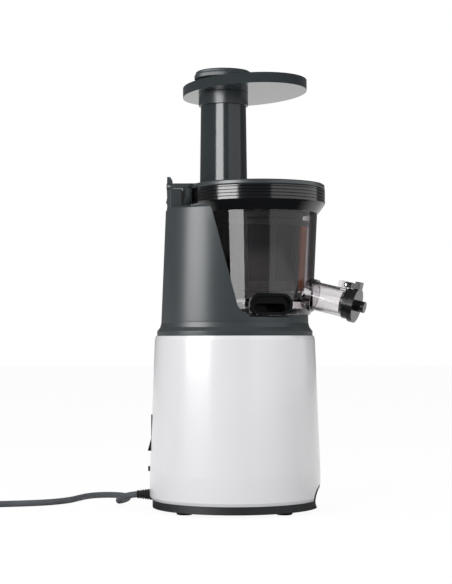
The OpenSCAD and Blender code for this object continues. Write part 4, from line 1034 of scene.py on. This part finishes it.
    def lamp(self, name, place, size, power, aim=(0, 0, 0.22)):
        """A soft lamp that lights the colours, and isn't mirrored. It aims at the part's
        middle."""
        data = bpy.data.lights.new(name, "AREA")
        data.shape = "RECTANGLE"
        data.size, data.size_y = size
        data.energy = power
        made = bpy.data.objects.new(name, data)
        bpy.context.scene.collection.objects.link(made)
        ahead = (Vector(aim) - Vector(place)).to_track_quat("-Z", "Y")
        made.matrix_world = Matrix.Translation(place) @ ahead.to_matrix().to_4x4()
        made.visible_glossy = False
        return made

    def mirrored(self, name, turn_deg, away, heights, wide_deg, glow, only):
        """An upright panel that gloss mirrors, and that adds no light to the colours. It stands
        at turn_deg round the bowl's axis, and is wide_deg wide as seen from there."""
        a = math.radians(turn_deg)
        low, high = heights
        wide = 2 * away * math.tan(math.radians(wide_deg / 2))
        place = (away * math.cos(a), away * math.sin(a), (low + high) / 2)
        # a panel's power is pi times its area times what it glows
        power = math.pi * wide * (high - low) * glow
        made = self.lamp(name, place, (wide, high - low), power, (0, 0, place[2]))
        made.visible_glossy, made.visible_diffuse, made.visible_transmission = True, False, False
        lit = bpy.data.collections.new(name + "_pieces")
        for node in only:
            lit.objects.link(CAD[node])
        made.light_linking.receiver_collection = lit


OPERATORS = (JUICER_OT_camera, JUICER_OT_plug, JUICER_OT_strain_relief, JUICER_OT_cord,
             JUICER_OT_base, JUICER_OT_housing, JUICER_OT_drive, JUICER_OT_bowl,
             JUICER_OT_strainer, JUICER_OT_lid, JUICER_OT_tray, JUICER_OT_stage)


class JUICER_PT_sidebar(bpy.types.Panel):
    """Lists the groups of the juicer and the values that a user would change"""
    bl_idname = "JUICER_PT_sidebar"
    bl_label = "Juicer"
    bl_space_type = "VIEW_3D"
    bl_region_type = "UI"
    bl_category = "Juicer"

    def draw(self, context):
        for group in (settings().cord, settings().finishes, settings().studio):
            box = self.layout.box()
            for name in group.__annotations__:
                box.prop(group, name)
        for made in OPERATORS:
            self.layout.operator(made.bl_idname)


CLASSES = (JuicerCord, JuicerFinishes, JuicerStudio, JuicerSettings, *OPERATORS, JUICER_PT_sidebar)


def register():
    for made in CLASSES:
        bpy.utils.register_class(made)
    bpy.types.Scene.juicer = PointerProperty(type=JuicerSettings)


def unregister():
    del bpy.types.Scene.juicer
    for made in reversed(CLASSES):
        bpy.utils.unregister_class(made)


def main():
    register()
    for made in OPERATORS:
        group, name = made.bl_idname.split(".")
        getattr(getattr(bpy.ops, group), name)()
    bpy.context.view_layer.update()


if __name__ == "__main__":
    main()
